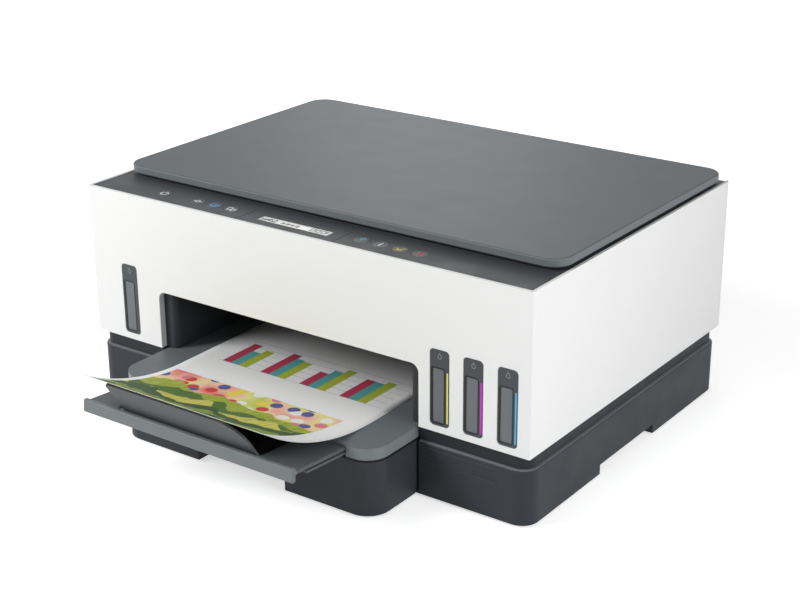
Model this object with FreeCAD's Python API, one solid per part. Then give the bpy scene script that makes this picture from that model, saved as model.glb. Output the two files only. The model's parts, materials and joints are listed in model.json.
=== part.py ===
import FreeCAD, Part
import math
import os

from FreeCAD import Vector

# Ink-tank all-in-one printer, millimetres, front towards -Y, floor at Z = 0,
# origin under the centre of the white body.

# Driving sizes of the case
FOOT_H = 2.0
BODY_W = 434.7
BODY_D = 312.6
BASE_H = 45.0
NECK_H = 11.6
SHELL_H = 130.0
WALL = 2.5
FIT = 0.1
GAP = 0.6
SHELL_EDGE_R = 1.2
BASE_CORNER_R = 14.0
BASE_BACK_INSET = 1.0
SHOULDER_BEVEL = 1.2
FLOOR_T = 2.5
LEDGE_H = 5.0
LEDGE_T = 2.4
SHELL_BACK_BEVEL_Y = 2.0
SHELL_BACK_BEVEL_Z = 1.6
GRIP_MID = -5.0
GRIP_W = 88.0
GRIP_H = 8.0
GRIP_DEEP = 18.0
PLATE_SIDE = 25.85
PLATE_W = 66.3
PLATE_H = 11.0
PLATE_DROP = 4.0

# Paper mouth and its liner
MOUTH_LEFT = 74.15
MOUTH_RIGHT = 97.65
MOUTH_H = 50.8
MOUTH_R = 7.0
MOUTH_LIP_DEEP = 6.0
MOUTH_LIP_T = 1.6
LINER_COLUMN = 12.0
LINER_R = 5.0
LINER_BACK_GAP = 6.3
LINER_T = 2.4

# Ink windows and tanks
WINDOW_W = 17.5
WINDOW_H = 62.0
WINDOW_UP = 5.4
WINDOW_R = 3.5
WINDOW_LEFT = 41.55
WINDOW_RIGHT = 19.55
WINDOW_PITCH = 29.6
SIGHT_W = 10.8
SIGHT_H = 44.0
SIGHT_UP = 2.6
SIGHT_SHIFT = 1.3
SIGHT_GAP = 0.8
BEZEL_FLANGE = 2.0
BEZEL_FLANGE_T = 1.4
BEZEL_SUNK = 0.2
STRIP_W = 1.3
STRIP_H = 41.0
STRIP_T = 0.5
SHELF_T = 2.5
TANK_W = {"black": 56.0, "yellow": 27.0, "magenta": 27.0, "cyan": 24.0}
TANK_SHIFT = {"black": -0.7, "yellow": 0.0, "magenta": 0.0, "cyan": -1.5}
TANK_BEVEL = 5.0
TANK_H = 52.0
TANK_BACK_GAP = 27.0
TANK_WALL = 1.6
TANK_BACK_FROM_FRONT = 7.3
NECK_R = 7.0
NECK_UP = 5.0
CAP_W = 18.0
CAP_T = 5.0
CAP_LONG = 26.0

# Scanner unit, lid and control panel
UNIT_GAP = 0.65
UNIT_SUNK = 0.3
DECK_T = 2.7
DECK_FRONT = 43.7
TUB_SIDE_GAP = 5.8
TUB_INSET_FRONT = 7.8
TUB_BACK_INSET = 19.3
TUB_DEEP = 33.6
TUB_R = 8.0
HINGE_BACK_INSET = 10.3
HINGE_DROP = 12.6
HINGE_PIN_R = 2.0
HINGE_SIDE_INSET = 64.35
HINGE_KNUCKLE_R = 4.5
HINGE_KNUCKLE_W = 7.4
LUG_T = 3.0
PIN_FIT = 0.06
SIDE_FIT = 0.3
DECK_STEP_INSET = 13.3
DECK_STRIP_INSET = 5.8
DECK_STEP_DROP = 3.1
DECK_CORNER_W = 9.0
LID_SIDE_INSET = 2.85
LID_FRONT_INSET = 41.5
LID_BACK_INSET = 1.7
LID_GAP = 1.7
LID_T = 7.2
LID_R = 17.0
LID_SKIN = 2.5
LID_RIM = 4.0
LID_BEVEL = 0.8
LID_UNDER_BEVEL = 1.4
LID_PIN_R = 1.5
LID_PIN_BACK = 4.1
LID_PIN_DOWN = 5.0
LID_HINGE_INSET = 97.35
LID_KNUCKLE_R = 3.0
LID_KNUCKLE_W = 7.4
LID_LUG_T = 4.0
GLASS_SIDE_INSET = 54.35
GLASS_FRONT_INSET = 61.3
GLASS_BACK_INSET = 25.3
GLASS_T = 1.9
GLASS_SUNK = 0.2
GLASS_LEDGE = 4.0
PAD_INSET = 8.0
PAD_CLEAR = 0.3
SCAN_BAR_W = 22.0
SCAN_BAR_PARK = 52.35
SCAN_BAR_T = 12.0
SCAN_ROD_R = 3.0
SCAN_ROD_UP = 9.5
PANEL_T = 2.7
PANEL_SKIRT = 8.0
BUTTON_R = 6.3
BUTTON_GAP = 0.3
BUTTON_PROUD = 0.1
BUTTON_T = 3.5
BUTTON_STEM_W = 3.6
BUTTON_TRAVEL = 0.8
BUTTON_FRONT = 19.5
BUTTON_X = {
    "power": -148.4,
    "light": -111.6,
    "copy": -93.6,
    "copy_colour": -75.8,
    "wireless": 53.5,
    "info": 71.6,
    "resume": 89.7,
    "cancel": 107.8,
}
BOARD_T = 1.6
SWITCH_W = 6.0
SWITCH_H = 1.5
PANEL_BOARD_DROP = 10.7
PANEL_BOARD_PAST = 12.0
PANEL_BOARD_W = 17.0
SCREEN_X0 = -43.5
SCREEN_X1 = 25.6
SCREEN_FRONT = 12.4
SCREEN_D = 9.6
SCREEN_T = 1.0
SCREEN_SUNK = 0.2
PATCH_X0 = -58.4
PATCH_X1 = 37.7
PATCH_DEEP = 29.3
GROOVE = 0.5

# Input tray, output cover, extension, catch and sheet
TRAY_GAP_LEFT = 2.7
TRAY_GAP_RIGHT = 2.2
TRAY_OUT = 54.8
TRAY_R = 19.0
TRAY_STEP = 1.0
TRAY_BACK_GAP = 9.0
TRAY_WALL = 3.0
TRAY_FLOOR = 3.2
TRAY_CLEAR = 0.2
TRAY_ROLLER_GAP = 3.5
RECESS_W = 88.4
RECESS_H = 11.0
RECESS_DEEP = 26.0
COVER_INSET = 0.4
COVER_SKIN = 2.1
COVER_RIM = 2.5
COVER_BACK_GAP = 4.0
COVER_WALL_DROP = 8.0
EXT_INSET_LEFT = 23.5
EXT_INSET_RIGHT = 26.0
EXT_SLOPE = 4.46
EXT_OUT = 57.0
EXT_IN = 61.0
EXT_T = 2.7
EXT_CLEAR = 0.3
EXT_SIDE_GAP = 0.7
EXT_GROOVE = 1.4
EXT_GROOVE_DEEP = 3.5
EXT_RAIL_T = 2.0
EXT_RAIL_W = 5.0
EXT_RAIL_BACK = 13.0
LIP_T = 4.0
LIP_H = 10.5
LIP_PROUD = 2.0
CATCH_LEFT = 36.0
CATCH_RIGHT = 39.5
CATCH_LEN = 33.0
CATCH_T = 2.0
CATCH_LEAN = 120.0
CATCH_END_R = 24.0
CATCH_FLARE = 4.0
CATCH_PIN_R = 1.0
CATCH_BARREL_R = 1.3
CATCH_FROM_LIP = 6.0
POCKET_GAP = 3.0
POCKET_LONG = 5.0
SHEET_W = 195.0
SHEET_L = 270.0
SHEET_T = 0.2
SHEET_FLAT_OUT = 13.7
SHEET_CURL_LONG = 135.0
SHEET_LIFT = 0.1

# Print engine
FRAME_T = 1.5
FRAME_LEFT_GAP = 2.8
FRAME_MID_GAP = 1.3
FRAME_RIGHT_GAP = 8.35
FRAME_DEEP = 118.0
FRAME_BACK_GAP = 52.3
FRAME_TOP_GAP = 12.0
FRAME_MID_RISE = 9.0
WEB_RISE = 14.0
CROSSBAR_DROP = 14.0
CROSSBAR_H = 10.0
FEED_IN = 42.0
FEED_UP = 12.0
FEED_R = 8.0
FEED_SHAFT_R = 4.0
FEED_PULLEY_R = 14.0
OUT_IN = 102.0
OUT_DROP = 2.0
OUT_R = 6.0
OUT_SHAFT_R = 3.0
OUT_TYRE_W = 8.0
OUT_TYRES = 5
RUN_FIT = 0.05
PULLEY_W = 6.0
PULLEY_OFF = 3.5
BELT_T = 1.2
FEED_MOTOR_R = 18.0
FEED_MOTOR_L = 30.0
PLATEN_GAP_FRONT = 10.0
PLATEN_GAP_BACK = 12.0
PLATEN_DROP = 8.0
PLATEN_T = 6.0
PLATEN_RIB_H = 5.0
PLATEN_RIB_T = 2.0
PLATEN_RIBS = 13
RAIL_T = 2.0
RAIL_DEEP = 26.0
RAIL_H = 32.0
RAIL_LIP_H = 10.0
CARRIAGE_PARK = 43.0
CARRIAGE_W = 76.0
CARRIAGE_FRONT_GAP = 2.0
CARRIAGE_BACK_GAP = 4.0
CARRIAGE_RISE = 14.0
CARRIAGE_H = 42.0
CARRIAGE_WALL = 2.0
HEAD_W = 32.0
HEAD_L = 52.0
HEAD_H = 34.0
HEAD_NOSE_W = 22.0
HEAD_NOSE_L = 30.0
HEAD_NOSE_H = 3.5
BELT_IN = 18.0
BELT_W = 5.0
BELT_DROP = 22.0
BELT_LEFT = 14.0
BELT_RIGHT = 9.0
BELT_PULLEY_R = 6.0
MOTOR_R = 14.0
MOTOR_L = 30.0
MOTOR_SHAFT_R = 1.5
PICKUP_IN = 12.0
PICKUP_DROP = 29.5
PICKUP_R = 11.0
PICKUP_SHAFT_R = 2.5
PICKUP_W = 22.0
PICKUP_SPAN = 30.0
STATION_FRONT_GAP = 2.0
STATION_PAST = 14.0
STATION_LEFT = 5.0
STATION_RIGHT = 3.0
STATION_DROP = 12.0
STATION_CAP_H = 6.0

# Back of the case
DOOR_LEFT = 107.35
DOOR_RIGHT = 127.35
DOOR_UP = 13.4
DOOR_DROP = 26.0
DOOR_PIN_R = 0.8
DOOR_PIN_UP = 3.0
DOOR_RIBS = 6
DOOR_RIB_T = 2.5
DOOR_RIB_DEEP = 26.0
DOOR_RIB_UP = 16.0
DOOR_RIB_DOWN = 10.0
DOOR_RIB_SAG = 9.0
PULL_W = 30.0
PULL_H = 12.0
PULL_DEEP = 1.4
INLET_SIDE = 52.35
INLET_UP = 22.0
INLET_W = 28.0
INLET_H = 20.0
INLET_LONG = 24.0
INLET_HOLE_W = 15.6
INLET_HOLE_H = 9.2
INLET_HOLE_DEEP = 15.0
INLET_PIN_R = 1.2
INLET_PIN_PITCH = 8.0
USB_SIDE = 33.35
USB_W = 12.6
USB_H = 11.4
USB_LONG = 16.0
USB_SKIN = 0.8
USB_TONGUE_W = 5.6
USB_TONGUE_H = 3.2
SUPPLY_LEFT = 8.3
SUPPLY_RIGHT = 11.35
SUPPLY_DEEP = 48.0
SUPPLY_HEAD = 3.0
MAIN_LEFT = 11.35
MAIN_W = 46.0
MAIN_D = 62.5
MAIN_UP = 6.0
FOOT_R = 9.0
FOOT_SIDE = 31.35
FOOT_BACK = 30.3

# Levels and planes that follow from the driving sizes
Z_BASE = FOOT_H
Z_FLOOR = Z_BASE + FLOOR_T
Z_SHOULDER = Z_BASE + BASE_H
Z_SHELL = Z_SHOULDER + NECK_H
Z_TOP = Z_SHELL + SHELL_H
X_SIDE = BODY_W / 2
Y_FRONT = -BODY_D / 2
Y_BACK = BODY_D / 2
BASE_BACK = Y_BACK - BASE_BACK_INSET
IN_SIDE = X_SIDE - WALL
IN_FRONT = Y_FRONT + WALL
IN_BACK = Y_BACK - WALL
GRIP_FRONT = GRIP_MID - GRIP_W / 2
GRIP_BACK = GRIP_MID + GRIP_W / 2
GRIP_IN = X_SIDE - GRIP_DEEP - WALL
GRIP_TOP = Z_BASE + GRIP_H + WALL
MOUTH_X0 = -X_SIDE + MOUTH_LEFT
MOUTH_X1 = X_SIDE - MOUTH_RIGHT
Z_MOUTH = Z_SHELL + MOUTH_H
Y_LINER = Y_FRONT + MOUTH_LIP_DEEP
WINDOW_X = {
    "black": -X_SIDE + WINDOW_LEFT,
    "yellow": X_SIDE - WINDOW_RIGHT - 2 * WINDOW_PITCH,
    "magenta": X_SIDE - WINDOW_RIGHT - WINDOW_PITCH,
    "cyan": X_SIDE - WINDOW_RIGHT,
}
Z_WINDOW = Z_SHELL + WINDOW_UP
Z_SHELF = Z_SHELL + SHELF_T + 0.9
Y_TANK = Y_FRONT + TANK_BACK_FROM_FRONT
FOOT_X = X_SIDE - FOOT_SIDE
FOOT_Y = Y_BACK - FOOT_BACK

# Scanner unit
Z_UNIT = Z_TOP - UNIT_SUNK
Z_DECK_UNDER = Z_UNIT - DECK_T
Z_TUB = Z_DECK_UNDER - TUB_DEEP
UNIT_SIDE = IN_SIDE - UNIT_GAP
UNIT_FRONT = IN_FRONT + UNIT_GAP
TUB_SIDE = UNIT_SIDE - TUB_SIDE_GAP
TUB_BACK = Y_BACK - TUB_BACK_INSET
DECK_STEP_Y = Y_BACK - DECK_STEP_INSET
DECK_STRIP_BACK = Y_BACK - DECK_STRIP_INSET
HINGE_X = X_SIDE - HINGE_SIDE_INSET
HINGE_Y = Y_BACK - HINGE_BACK_INSET
HINGE_Z = Z_TOP - HINGE_DROP
LID_SIDE = X_SIDE - LID_SIDE_INSET
LID_FRONT = Y_FRONT + LID_FRONT_INSET
LID_BACK = Y_BACK - LID_BACK_INSET
Z_LID = Z_TOP + LID_GAP
Z_LID_TOP = Z_LID + LID_T
LID_PIN_Y = LID_BACK - LID_PIN_BACK
LID_PIN_Z = Z_LID_TOP - LID_PIN_DOWN
LID_HINGE_X = X_SIDE - LID_HINGE_INSET
GLASS_SIDE = X_SIDE - GLASS_SIDE_INSET
GLASS_FRONT = Y_FRONT + GLASS_FRONT_INSET
GLASS_BACK = Y_BACK - GLASS_BACK_INSET
SCAN_BAR_X = -X_SIDE + SCAN_BAR_PARK
SCAN_ROD_Y = (GLASS_FRONT + GLASS_BACK) / 2
SCAN_ROD_Z = Z_TUB + WALL + SCAN_ROD_UP
BUTTON_Y = Y_FRONT + BUTTON_FRONT
SCREEN_Y0 = Y_FRONT + SCREEN_FRONT
SCREEN_Y1 = SCREEN_Y0 + SCREEN_D
PATCH_Y1 = Y_FRONT + PATCH_DEEP
PANEL_BOARD_X0 = min(BUTTON_X.values()) - PANEL_BOARD_PAST
PANEL_BOARD_X1 = max(BUTTON_X.values()) + PANEL_BOARD_PAST
PANEL_BOARD_TOP = Z_UNIT - PANEL_T - PANEL_BOARD_DROP + BOARD_T

# Print engine
FRAME_LEFT = MOUTH_X0 - FRAME_LEFT_GAP
FRAME_MID = MOUTH_X1 + FRAME_MID_GAP
FRAME_RIGHT = X_SIDE - FRAME_RIGHT_GAP
FRAME_BACK = Y_BACK - FRAME_BACK_GAP
FRAME_FRONT = FRAME_BACK - FRAME_DEEP
FRAME_TOP = Z_TUB - FRAME_TOP_GAP
Z_COVER = Z_SHELL - GAP
FEED_Y = FRAME_BACK - FEED_IN
FEED_Z = Z_COVER + FEED_UP
OUT_Y = FRAME_BACK - OUT_IN
OUT_Z = FEED_Z - OUT_DROP
PLATEN_FRONT = OUT_Y + PLATEN_GAP_FRONT
PLATEN_BACK = FEED_Y - PLATEN_GAP_BACK
PLATEN_LOW = FEED_Z - PLATEN_DROP
RAIL_FRONT = FRAME_BACK - RAIL_DEEP
RAIL_LOW = FRAME_TOP - RAIL_H
CARRIAGE_X = FRAME_RIGHT - CARRIAGE_PARK
CARRIAGE_FRONT = OUT_Y + CARRIAGE_FRONT_GAP
CARRIAGE_BACK = RAIL_FRONT - CARRIAGE_BACK_GAP
CARRIAGE_LOW = FEED_Z + CARRIAGE_RISE
BELT_X0 = FRAME_LEFT + BELT_LEFT
BELT_X1 = FRAME_RIGHT - BELT_RIGHT
BELT_Y = FRAME_BACK - BELT_IN
BELT_Z = FRAME_TOP - BELT_DROP
PICKUP_Y = FEED_Y - PICKUP_IN
PICKUP_Z = FEED_Z - PICKUP_DROP
STATION_X0 = FRAME_MID + STATION_LEFT
STATION_X1 = FRAME_RIGHT - STATION_RIGHT
STATION_FRONT = OUT_Y - STATION_FRONT_GAP
STATION_BACK = FEED_Y + STATION_PAST
STATION_TOP = CARRIAGE_LOW - STATION_DROP
Y_LINER_BACK = FRAME_FRONT - LINER_BACK_GAP
TANK_BACK = FRAME_FRONT - TANK_BACK_GAP

# Tray, extension and catch
TRAY_X0 = MOUTH_X0 + TRAY_GAP_LEFT
TRAY_X1 = MOUTH_X1 - TRAY_GAP_RIGHT
TRAY_X = (TRAY_X0 + TRAY_X1) / 2
TRAY_FRONT = Y_FRONT - TRAY_OUT
TRAY_BACK = FRAME_BACK - TRAY_BACK_GAP
RECESS_X0 = TRAY_X - RECESS_W / 2
RECESS_X1 = TRAY_X + RECESS_W / 2
Z_TRAY = Z_SHOULDER + TRAY_STEP
COVER_BACK = FRAME_FRONT - COVER_BACK_GAP
EXT_X0 = TRAY_X0 + EXT_INSET_LEFT
EXT_X1 = TRAY_X1 - EXT_INSET_RIGHT
EXT_Z = Z_COVER - COVER_SKIN - EXT_CLEAR
CATCH_X0 = EXT_X0 + CATCH_LEFT
CATCH_X1 = EXT_X1 - CATCH_RIGHT
CATCH_Y = TRAY_FRONT - EXT_OUT + CATCH_FROM_LIP
CATCH_Z = EXT_Z - EXT_T / 2
SHEET_CURL_Y = Y_FRONT - SHEET_FLAT_OUT

# Back of the case
DOOR_X0 = -X_SIDE + DOOR_LEFT
DOOR_X1 = X_SIDE - DOOR_RIGHT
DOOR_LOW = Z_SHELL + DOOR_UP
DOOR_HIGH = HINGE_Z - DOOR_DROP
INLET_X = X_SIDE - INLET_SIDE
INLET_Z = Z_BASE + INLET_UP
USB_X = -X_SIDE + USB_SIDE
SUPPLY_X0 = MOUTH_X1 + SUPPLY_LEFT
SUPPLY_X1 = X_SIDE - SUPPLY_RIGHT
SUPPLY_BACK = BASE_BACK - INLET_LONG
MAIN_X0 = -X_SIDE + MAIN_LEFT
MAIN_X1 = MAIN_X0 + MAIN_W
MAIN_BACK = BASE_BACK - WALL - 3
MAIN_FRONT = MAIN_BACK - MAIN_D
MAIN_LOW = Z_FLOOR + MAIN_UP


def spot(plane, u, v, w):
    if plane == "xy":
        return Vector(u, v, w)
    if plane == "xz":
        return Vector(u, w, v)
    return Vector(w, u, v)


def unit(u, v):
    size = math.hypot(u, v)
    return u / size, v / size


def corner(before, here, after):
    """Tangent points and middle of the round at one corner of an outline."""
    u, v, r = here
    if r == 0:
        return [(u, v)]
    au, av = unit(before[0] - u, before[1] - v)
    bu, bv = unit(after[0] - u, after[1] - v)
    half = math.acos(au * bu + av * bv) / 2
    run = r / math.tan(half)
    mu, mv = unit(au + bu, av + bv)
    reach = r / math.sin(half) - r
    return [
        (u + au * run, v + av * run),
        (u + mu * reach, v + mv * reach),
        (u + bu * run, v + bv * run),
    ]


def outline(plane, points, w):
    """Closed face from corner points (u, v, radius) on a plane."""
    full = [(p + (0,))[:3] for p in points]
    count = len(full)
    rounds = [corner(full[i - 1], full[i], full[(i + 1) % count]) for i in range(count)]
    edges = []
    for i in range(count):
        here = rounds[i]
        after = rounds[(i + 1) % count]
        if len(here) == 3:
            edges.append(Part.Arc(*[spot(plane, u, v, w) for u, v in here]).toShape())
        start = spot(plane, here[-1][0], here[-1][1], w)
        end = spot(plane, after[0][0], after[0][1], w)
        if start.distanceToPoint(end) > 1e-6:
            edges.append(Part.makeLine(start, end))
    return Part.Face(Part.Wire(edges))


def prism(plane, points, w0, w1):
    step = spot(plane, 0, 0, w1 - w0)
    return outline(plane, points, w0).extrude(step)


def rect(u0, u1, v0, v1, r=0):
    return [(u0, v0, r), (u1, v0, r), (u1, v1, r), (u0, v1, r)]


def bevelled(u0, u1, v0, v1, c):
    """Corner points of a rectangle with its corners cut off straight."""
    return [
        (u0 + c, v0), (u1 - c, v0), (u1, v0 + c), (u1, v1 - c),
        (u1 - c, v1), (u0 + c, v1), (u0, v1 - c), (u0, v0 + c),
    ]


def box(x0, x1, y0, y1, z0, z1):
    return Part.makeBox(x1 - x0, y1 - y0, z1 - z0, Vector(x0, y0, z0))


def rod(axis, w0, w1, u, v, r):
    """Round bar along one axis, at (u, v) in the plane across it."""
    plane = {"x": "yz", "y": "xz", "z": "xy"}[axis]
    return Part.makeCylinder(r, w1 - w0, spot(plane, u, v, w0), spot(plane, 0, 0, 1))


def join(first, *others):
    shape = first.fuse(list(others)) if others else first
    return shape.removeSplitter()


def flat_edges(shape, z):
    """Edges that lie in one level plane."""
    return [e for e in shape.Edges if abs(e.BoundBox.ZMin - z) < 1e-6 and abs(e.BoundBox.ZMax - z) < 1e-6]


def belt_outline(plane, wheels, grow, w):
    """Face inside the band that runs round wheels (u, v, radius), listed counter-clockwise."""
    count = len(wheels)
    touch = []
    for i in range(count):
        u0, v0, r0 = wheels[i]
        u1, v1, r1 = wheels[(i + 1) % count]
        length = math.hypot(u1 - u0, v1 - v0)
        du, dv = (u1 - u0) / length, (v1 - v0) / length
        along = (r0 - r1) / length
        side = math.sqrt(1 - along * along)
        touch.append((du * along + dv * side, dv * along - du * side))
    edges = []
    for i in range(count):
        u, v, r = wheels[i]
        r += grow
        nu0, nv0 = touch[i - 1]
        nu1, nv1 = touch[i]
        turn = (math.atan2(nv1, nu1) - math.atan2(nv0, nu0)) % (2 * math.pi)
        half = math.atan2(nv0, nu0) + turn / 2
        marks = [(nu0, nv0), (math.cos(half), math.sin(half)), (nu1, nv1)]
        edges.append(Part.Arc(*[spot(plane, u + a * r, v + b * r, w) for a, b in marks]).toShape())
        un, vn, rn = wheels[(i + 1) % count]
        rn += grow
        start = spot(plane, u + nu1 * r, v + nv1 * r, w)
        end = spot(plane, un + nu1 * rn, vn + nv1 * rn, w)
        edges.append(Part.makeLine(start, end))
    return Part.Face(Part.Wire(edges))


def belt(plane, wheels, w0, w1):
    step = spot(plane, 0, 0, w1 - w0)
    outside = belt_outline(plane, wheels, RUN_FIT + BELT_T, w0).extrude(step)
    inside = belt_outline(plane, wheels, RUN_FIT, w0).extrude(step)
    return outside.cut(inside)


def grip_pocket(side):
    """Finger pocket under one side wall, as a block and the hollow in it."""
    x0, x1 = sorted((side * (X_SIDE + 1), side * (X_SIDE - GRIP_DEEP)))
    b0, b1 = sorted((side * (X_SIDE - WALL / 2), side * GRIP_IN))
    block = box(b0, b1, GRIP_FRONT - WALL, GRIP_BACK + WALL, Z_BASE, GRIP_TOP)
    hollow = box(x0, x1, GRIP_FRONT, GRIP_BACK, Z_BASE - 1, GRIP_TOP - WALL)
    return block, hollow


def tray_channel(x0, x1):
    return box(x0, x1, IN_FRONT, Y_LINER_BACK, Z_BASE, Z_SHELF - 1)


def base_housing():
    outer = prism("xy", rect(-X_SIDE, X_SIDE, Y_FRONT, BASE_BACK, BASE_CORNER_R), Z_BASE, Z_SHOULDER)
    outer = outer.makeChamfer(SHOULDER_BEVEL, flat_edges(outer, Z_SHOULDER))
    inset = WALL + FIT
    neck_side = X_SIDE - inset
    neck_top = Z_SHELL + LEDGE_H
    neck = prism(
        "xy",
        rect(-neck_side, neck_side, Y_FRONT + inset, BASE_BACK - inset, BASE_CORNER_R - inset),
        Z_SHOULDER - 1,
        neck_top,
    )
    body = outer.fuse(neck)
    low = inset + 0.2
    lower = rect(-X_SIDE + low, X_SIDE - low, Y_FRONT + low, BASE_BACK - low, BASE_CORNER_R - low)
    body = body.cut(prism("xy", lower, Z_FLOOR, Z_SHOULDER - WALL))
    high = inset + WALL
    upper = rect(-X_SIDE + high, X_SIDE - high, Y_FRONT + high, BASE_BACK - high, BASE_CORNER_R - high)
    body = body.cut(prism("xy", upper, Z_SHOULDER - WALL - 1, neck_top + 1))
    shelf_side = X_SIDE - inset - 1
    shelves = [
        box(-shelf_side, MOUTH_X0, Y_FRONT + inset + 1, TANK_BACK + 4, Z_SHELF - SHELF_T, Z_SHELF),
        box(MOUTH_X1, shelf_side, Y_FRONT + inset + 1, TANK_BACK + 4, Z_SHELF - SHELF_T, Z_SHELF),
    ]
    walls = [tray_channel(MOUTH_X0 - WALL, MOUTH_X0), tray_channel(MOUTH_X1, MOUTH_X1 + WALL)]
    left, left_hollow = grip_pocket(-1)
    right, right_hollow = grip_pocket(1)
    body = join(body, *shelves, *walls, left, right)
    body = body.cut(left_hollow).cut(right_hollow)
    body = body.cut(box(MOUTH_X0, MOUTH_X1, Y_FRONT - 1, Y_FRONT + 12, Z_FLOOR, neck_top + 1))
    lip = MOUTH_LIP_T + FIT
    lip_back = Y_LINER + LINER_T + FIT
    body = body.cut(box(MOUTH_X0 - lip, MOUTH_X1 + lip, Y_FRONT - 1, lip_back, Z_SHELL - FIT, neck_top + 1))
    body = body.cut(name_plate_groove())
    body = body.cut(box(*inlet_hole()))
    body = body.cut(box(*usb_hole()))
    return body.removeSplitter()


def name_plate_groove():
    x0, x1 = X_SIDE - PLATE_SIDE - PLATE_W, X_SIDE - PLATE_SIDE
    z1 = Z_SHOULDER - PLATE_DROP
    z0 = z1 - PLATE_H
    plate = prism("xz", rect(x0, x1, z0, z1, 1.2), Y_FRONT - 1, Y_FRONT + GROOVE)
    field = prism(
        "xz", rect(x0 + GROOVE, x1 - GROOVE, z0 + GROOVE, z1 - GROOVE, 0.8), Y_FRONT - 1, Y_FRONT + GROOVE
    )
    return plate.cut(field)


def inlet_hole():
    z = INLET_Z
    return (
        INLET_X - INLET_W / 2 - FIT,
        INLET_X + INLET_W / 2 + FIT,
        BASE_BACK - WALL - 4,
        BASE_BACK + 1,
        z - INLET_H / 2 - FIT,
        z + INLET_H / 2 + FIT,
    )


def usb_hole():
    z0 = MAIN_LOW + BOARD_T
    return (
        USB_X - USB_W / 2 - FIT,
        USB_X + USB_W / 2 + FIT,
        BASE_BACK - WALL - 4,
        BASE_BACK + 1,
        z0 - FIT,
        z0 + USB_H + FIT,
    )


def feet():
    pads = []
    for x in (-FOOT_X, FOOT_X):
        for y in (-FOOT_Y, FOOT_Y):
            pads.append(rod("z", 0, FOOT_H, x, y, FOOT_R))
    return Part.makeCompound(pads)


def mouth_points(grow, low):
    x0, x1 = MOUTH_X0 - grow, MOUTH_X1 + grow
    top = Z_MOUTH + grow
    return [(x0, low, 0), (x1, low, 0), (x1, top, MOUTH_R + grow), (x0, top, MOUTH_R + grow)]


def hinge_lug(x0, x1):
    """Upright ear on the back wall that holds the scanner unit's hinge pin."""
    r = HINGE_KNUCKLE_R
    points = [
        (IN_BACK + 1, HINGE_Z - 20),
        (IN_BACK + 1, HINGE_Z),
        (HINGE_Y + r * 0.7, HINGE_Z + r * 0.7),
        (HINGE_Y - r, HINGE_Z + r, r),
        (HINGE_Y - r, HINGE_Z - r * 0.6),
    ]
    return prism("yz", points, x0, x1)


def body_shell():
    outer = prism("xy", rect(-X_SIDE, X_SIDE, Y_FRONT, Y_BACK, SHELL_EDGE_R), Z_SHELL, Z_TOP)
    body = outer.cut(box(-IN_SIDE, IN_SIDE, IN_FRONT, IN_BACK, Z_SHELL - 1, Z_TOP + 1))
    ledge_z = Z_SHELL + LEDGE_H
    ledge = box(-IN_SIDE, IN_SIDE, IN_FRONT, IN_BACK, ledge_z, ledge_z + LEDGE_T)
    deep = WALL + 1
    ledge = ledge.cut(
        box(-IN_SIDE + deep, IN_SIDE - deep, IN_FRONT + deep, IN_BACK - deep - 4, ledge_z - 1, ledge_z + 9)
    )
    body = body.fuse(ledge)
    for x in WINDOW_X.values():
        wide = WINDOW_W / 2 + BEZEL_FLANGE + FIT
        seat = box(x - wide, x + wide, IN_FRONT, IN_FRONT + deep + 1, ledge_z - 1, ledge_z + LEDGE_T + 1)
        body = body.cut(seat)
    lip = prism("xz", mouth_points(MOUTH_LIP_T, Z_SHELL), Y_FRONT + 1, Y_LINER)
    body = body.fuse(lip)
    body = body.cut(prism("xz", mouth_points(0, Z_SHELL - 1), Y_FRONT - 1, Y_LINER + 1))
    for x in WINDOW_X.values():
        hole = rect(x - WINDOW_W / 2, x + WINDOW_W / 2, Z_WINDOW, Z_WINDOW + WINDOW_H, WINDOW_R)
        body = body.cut(prism("xz", hole, Y_FRONT - 1, IN_FRONT + 5))
    bevel = [
        (Y_BACK - SHELL_BACK_BEVEL_Y, Z_SHELL - 0.001),
        (Y_BACK + 1, Z_SHELL - 0.001),
        (Y_BACK + 1, Z_SHELL + SHELL_BACK_BEVEL_Z),
        (Y_BACK, Z_SHELL + SHELL_BACK_BEVEL_Z),
    ]
    body = body.cut(prism("yz", bevel, -X_SIDE - 1, X_SIDE + 1))
    body = body.cut(box(DOOR_X0, DOOR_X1, IN_BACK - 9, Y_BACK + 1, DOOR_LOW, DOOR_HIGH))
    body = body.cut(box(-IN_SIDE, IN_SIDE, IN_BACK - 2, Y_BACK + 1, HINGE_Z, Z_TOP + 1))
    door_pin_y = (IN_BACK + Y_BACK) / 2
    pin_hole = rod("x", DOOR_X0 - 3, DOOR_X1 + 3, door_pin_y, DOOR_LOW + DOOR_PIN_UP, DOOR_PIN_R + RUN_FIT)
    body = body.cut(pin_hole)
    half = HINGE_KNUCKLE_W / 2 + SIDE_FIT
    ears = []
    for side in (-1, 1):
        x = side * HINGE_X
        ears.append(hinge_lug(x - half - LUG_T, x - half))
        ears.append(hinge_lug(x + half, x + half + LUG_T))
        ears.append(rod("x", x - half - LUG_T, x + half + LUG_T, HINGE_Y, HINGE_Z, HINGE_PIN_R))
    return join(body, *ears)


def liner_side(x_out, x_in):
    """Round-fronted side of the paper mouth, a front face and a wall running back."""
    turn = LINER_T if x_in > x_out else -LINER_T
    points = [
        (x_out, Y_LINER),
        (x_in, Y_LINER, LINER_R),
        (x_in, Y_LINER_BACK),
        (x_in - turn, Y_LINER_BACK),
        (x_in - turn, Y_LINER + LINER_T, LINER_R - LINER_T),
        (x_out, Y_LINER + LINER_T),
    ]
    return prism("xy", points, Z_COVER + GAP, Z_MOUTH + LINER_T)


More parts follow.
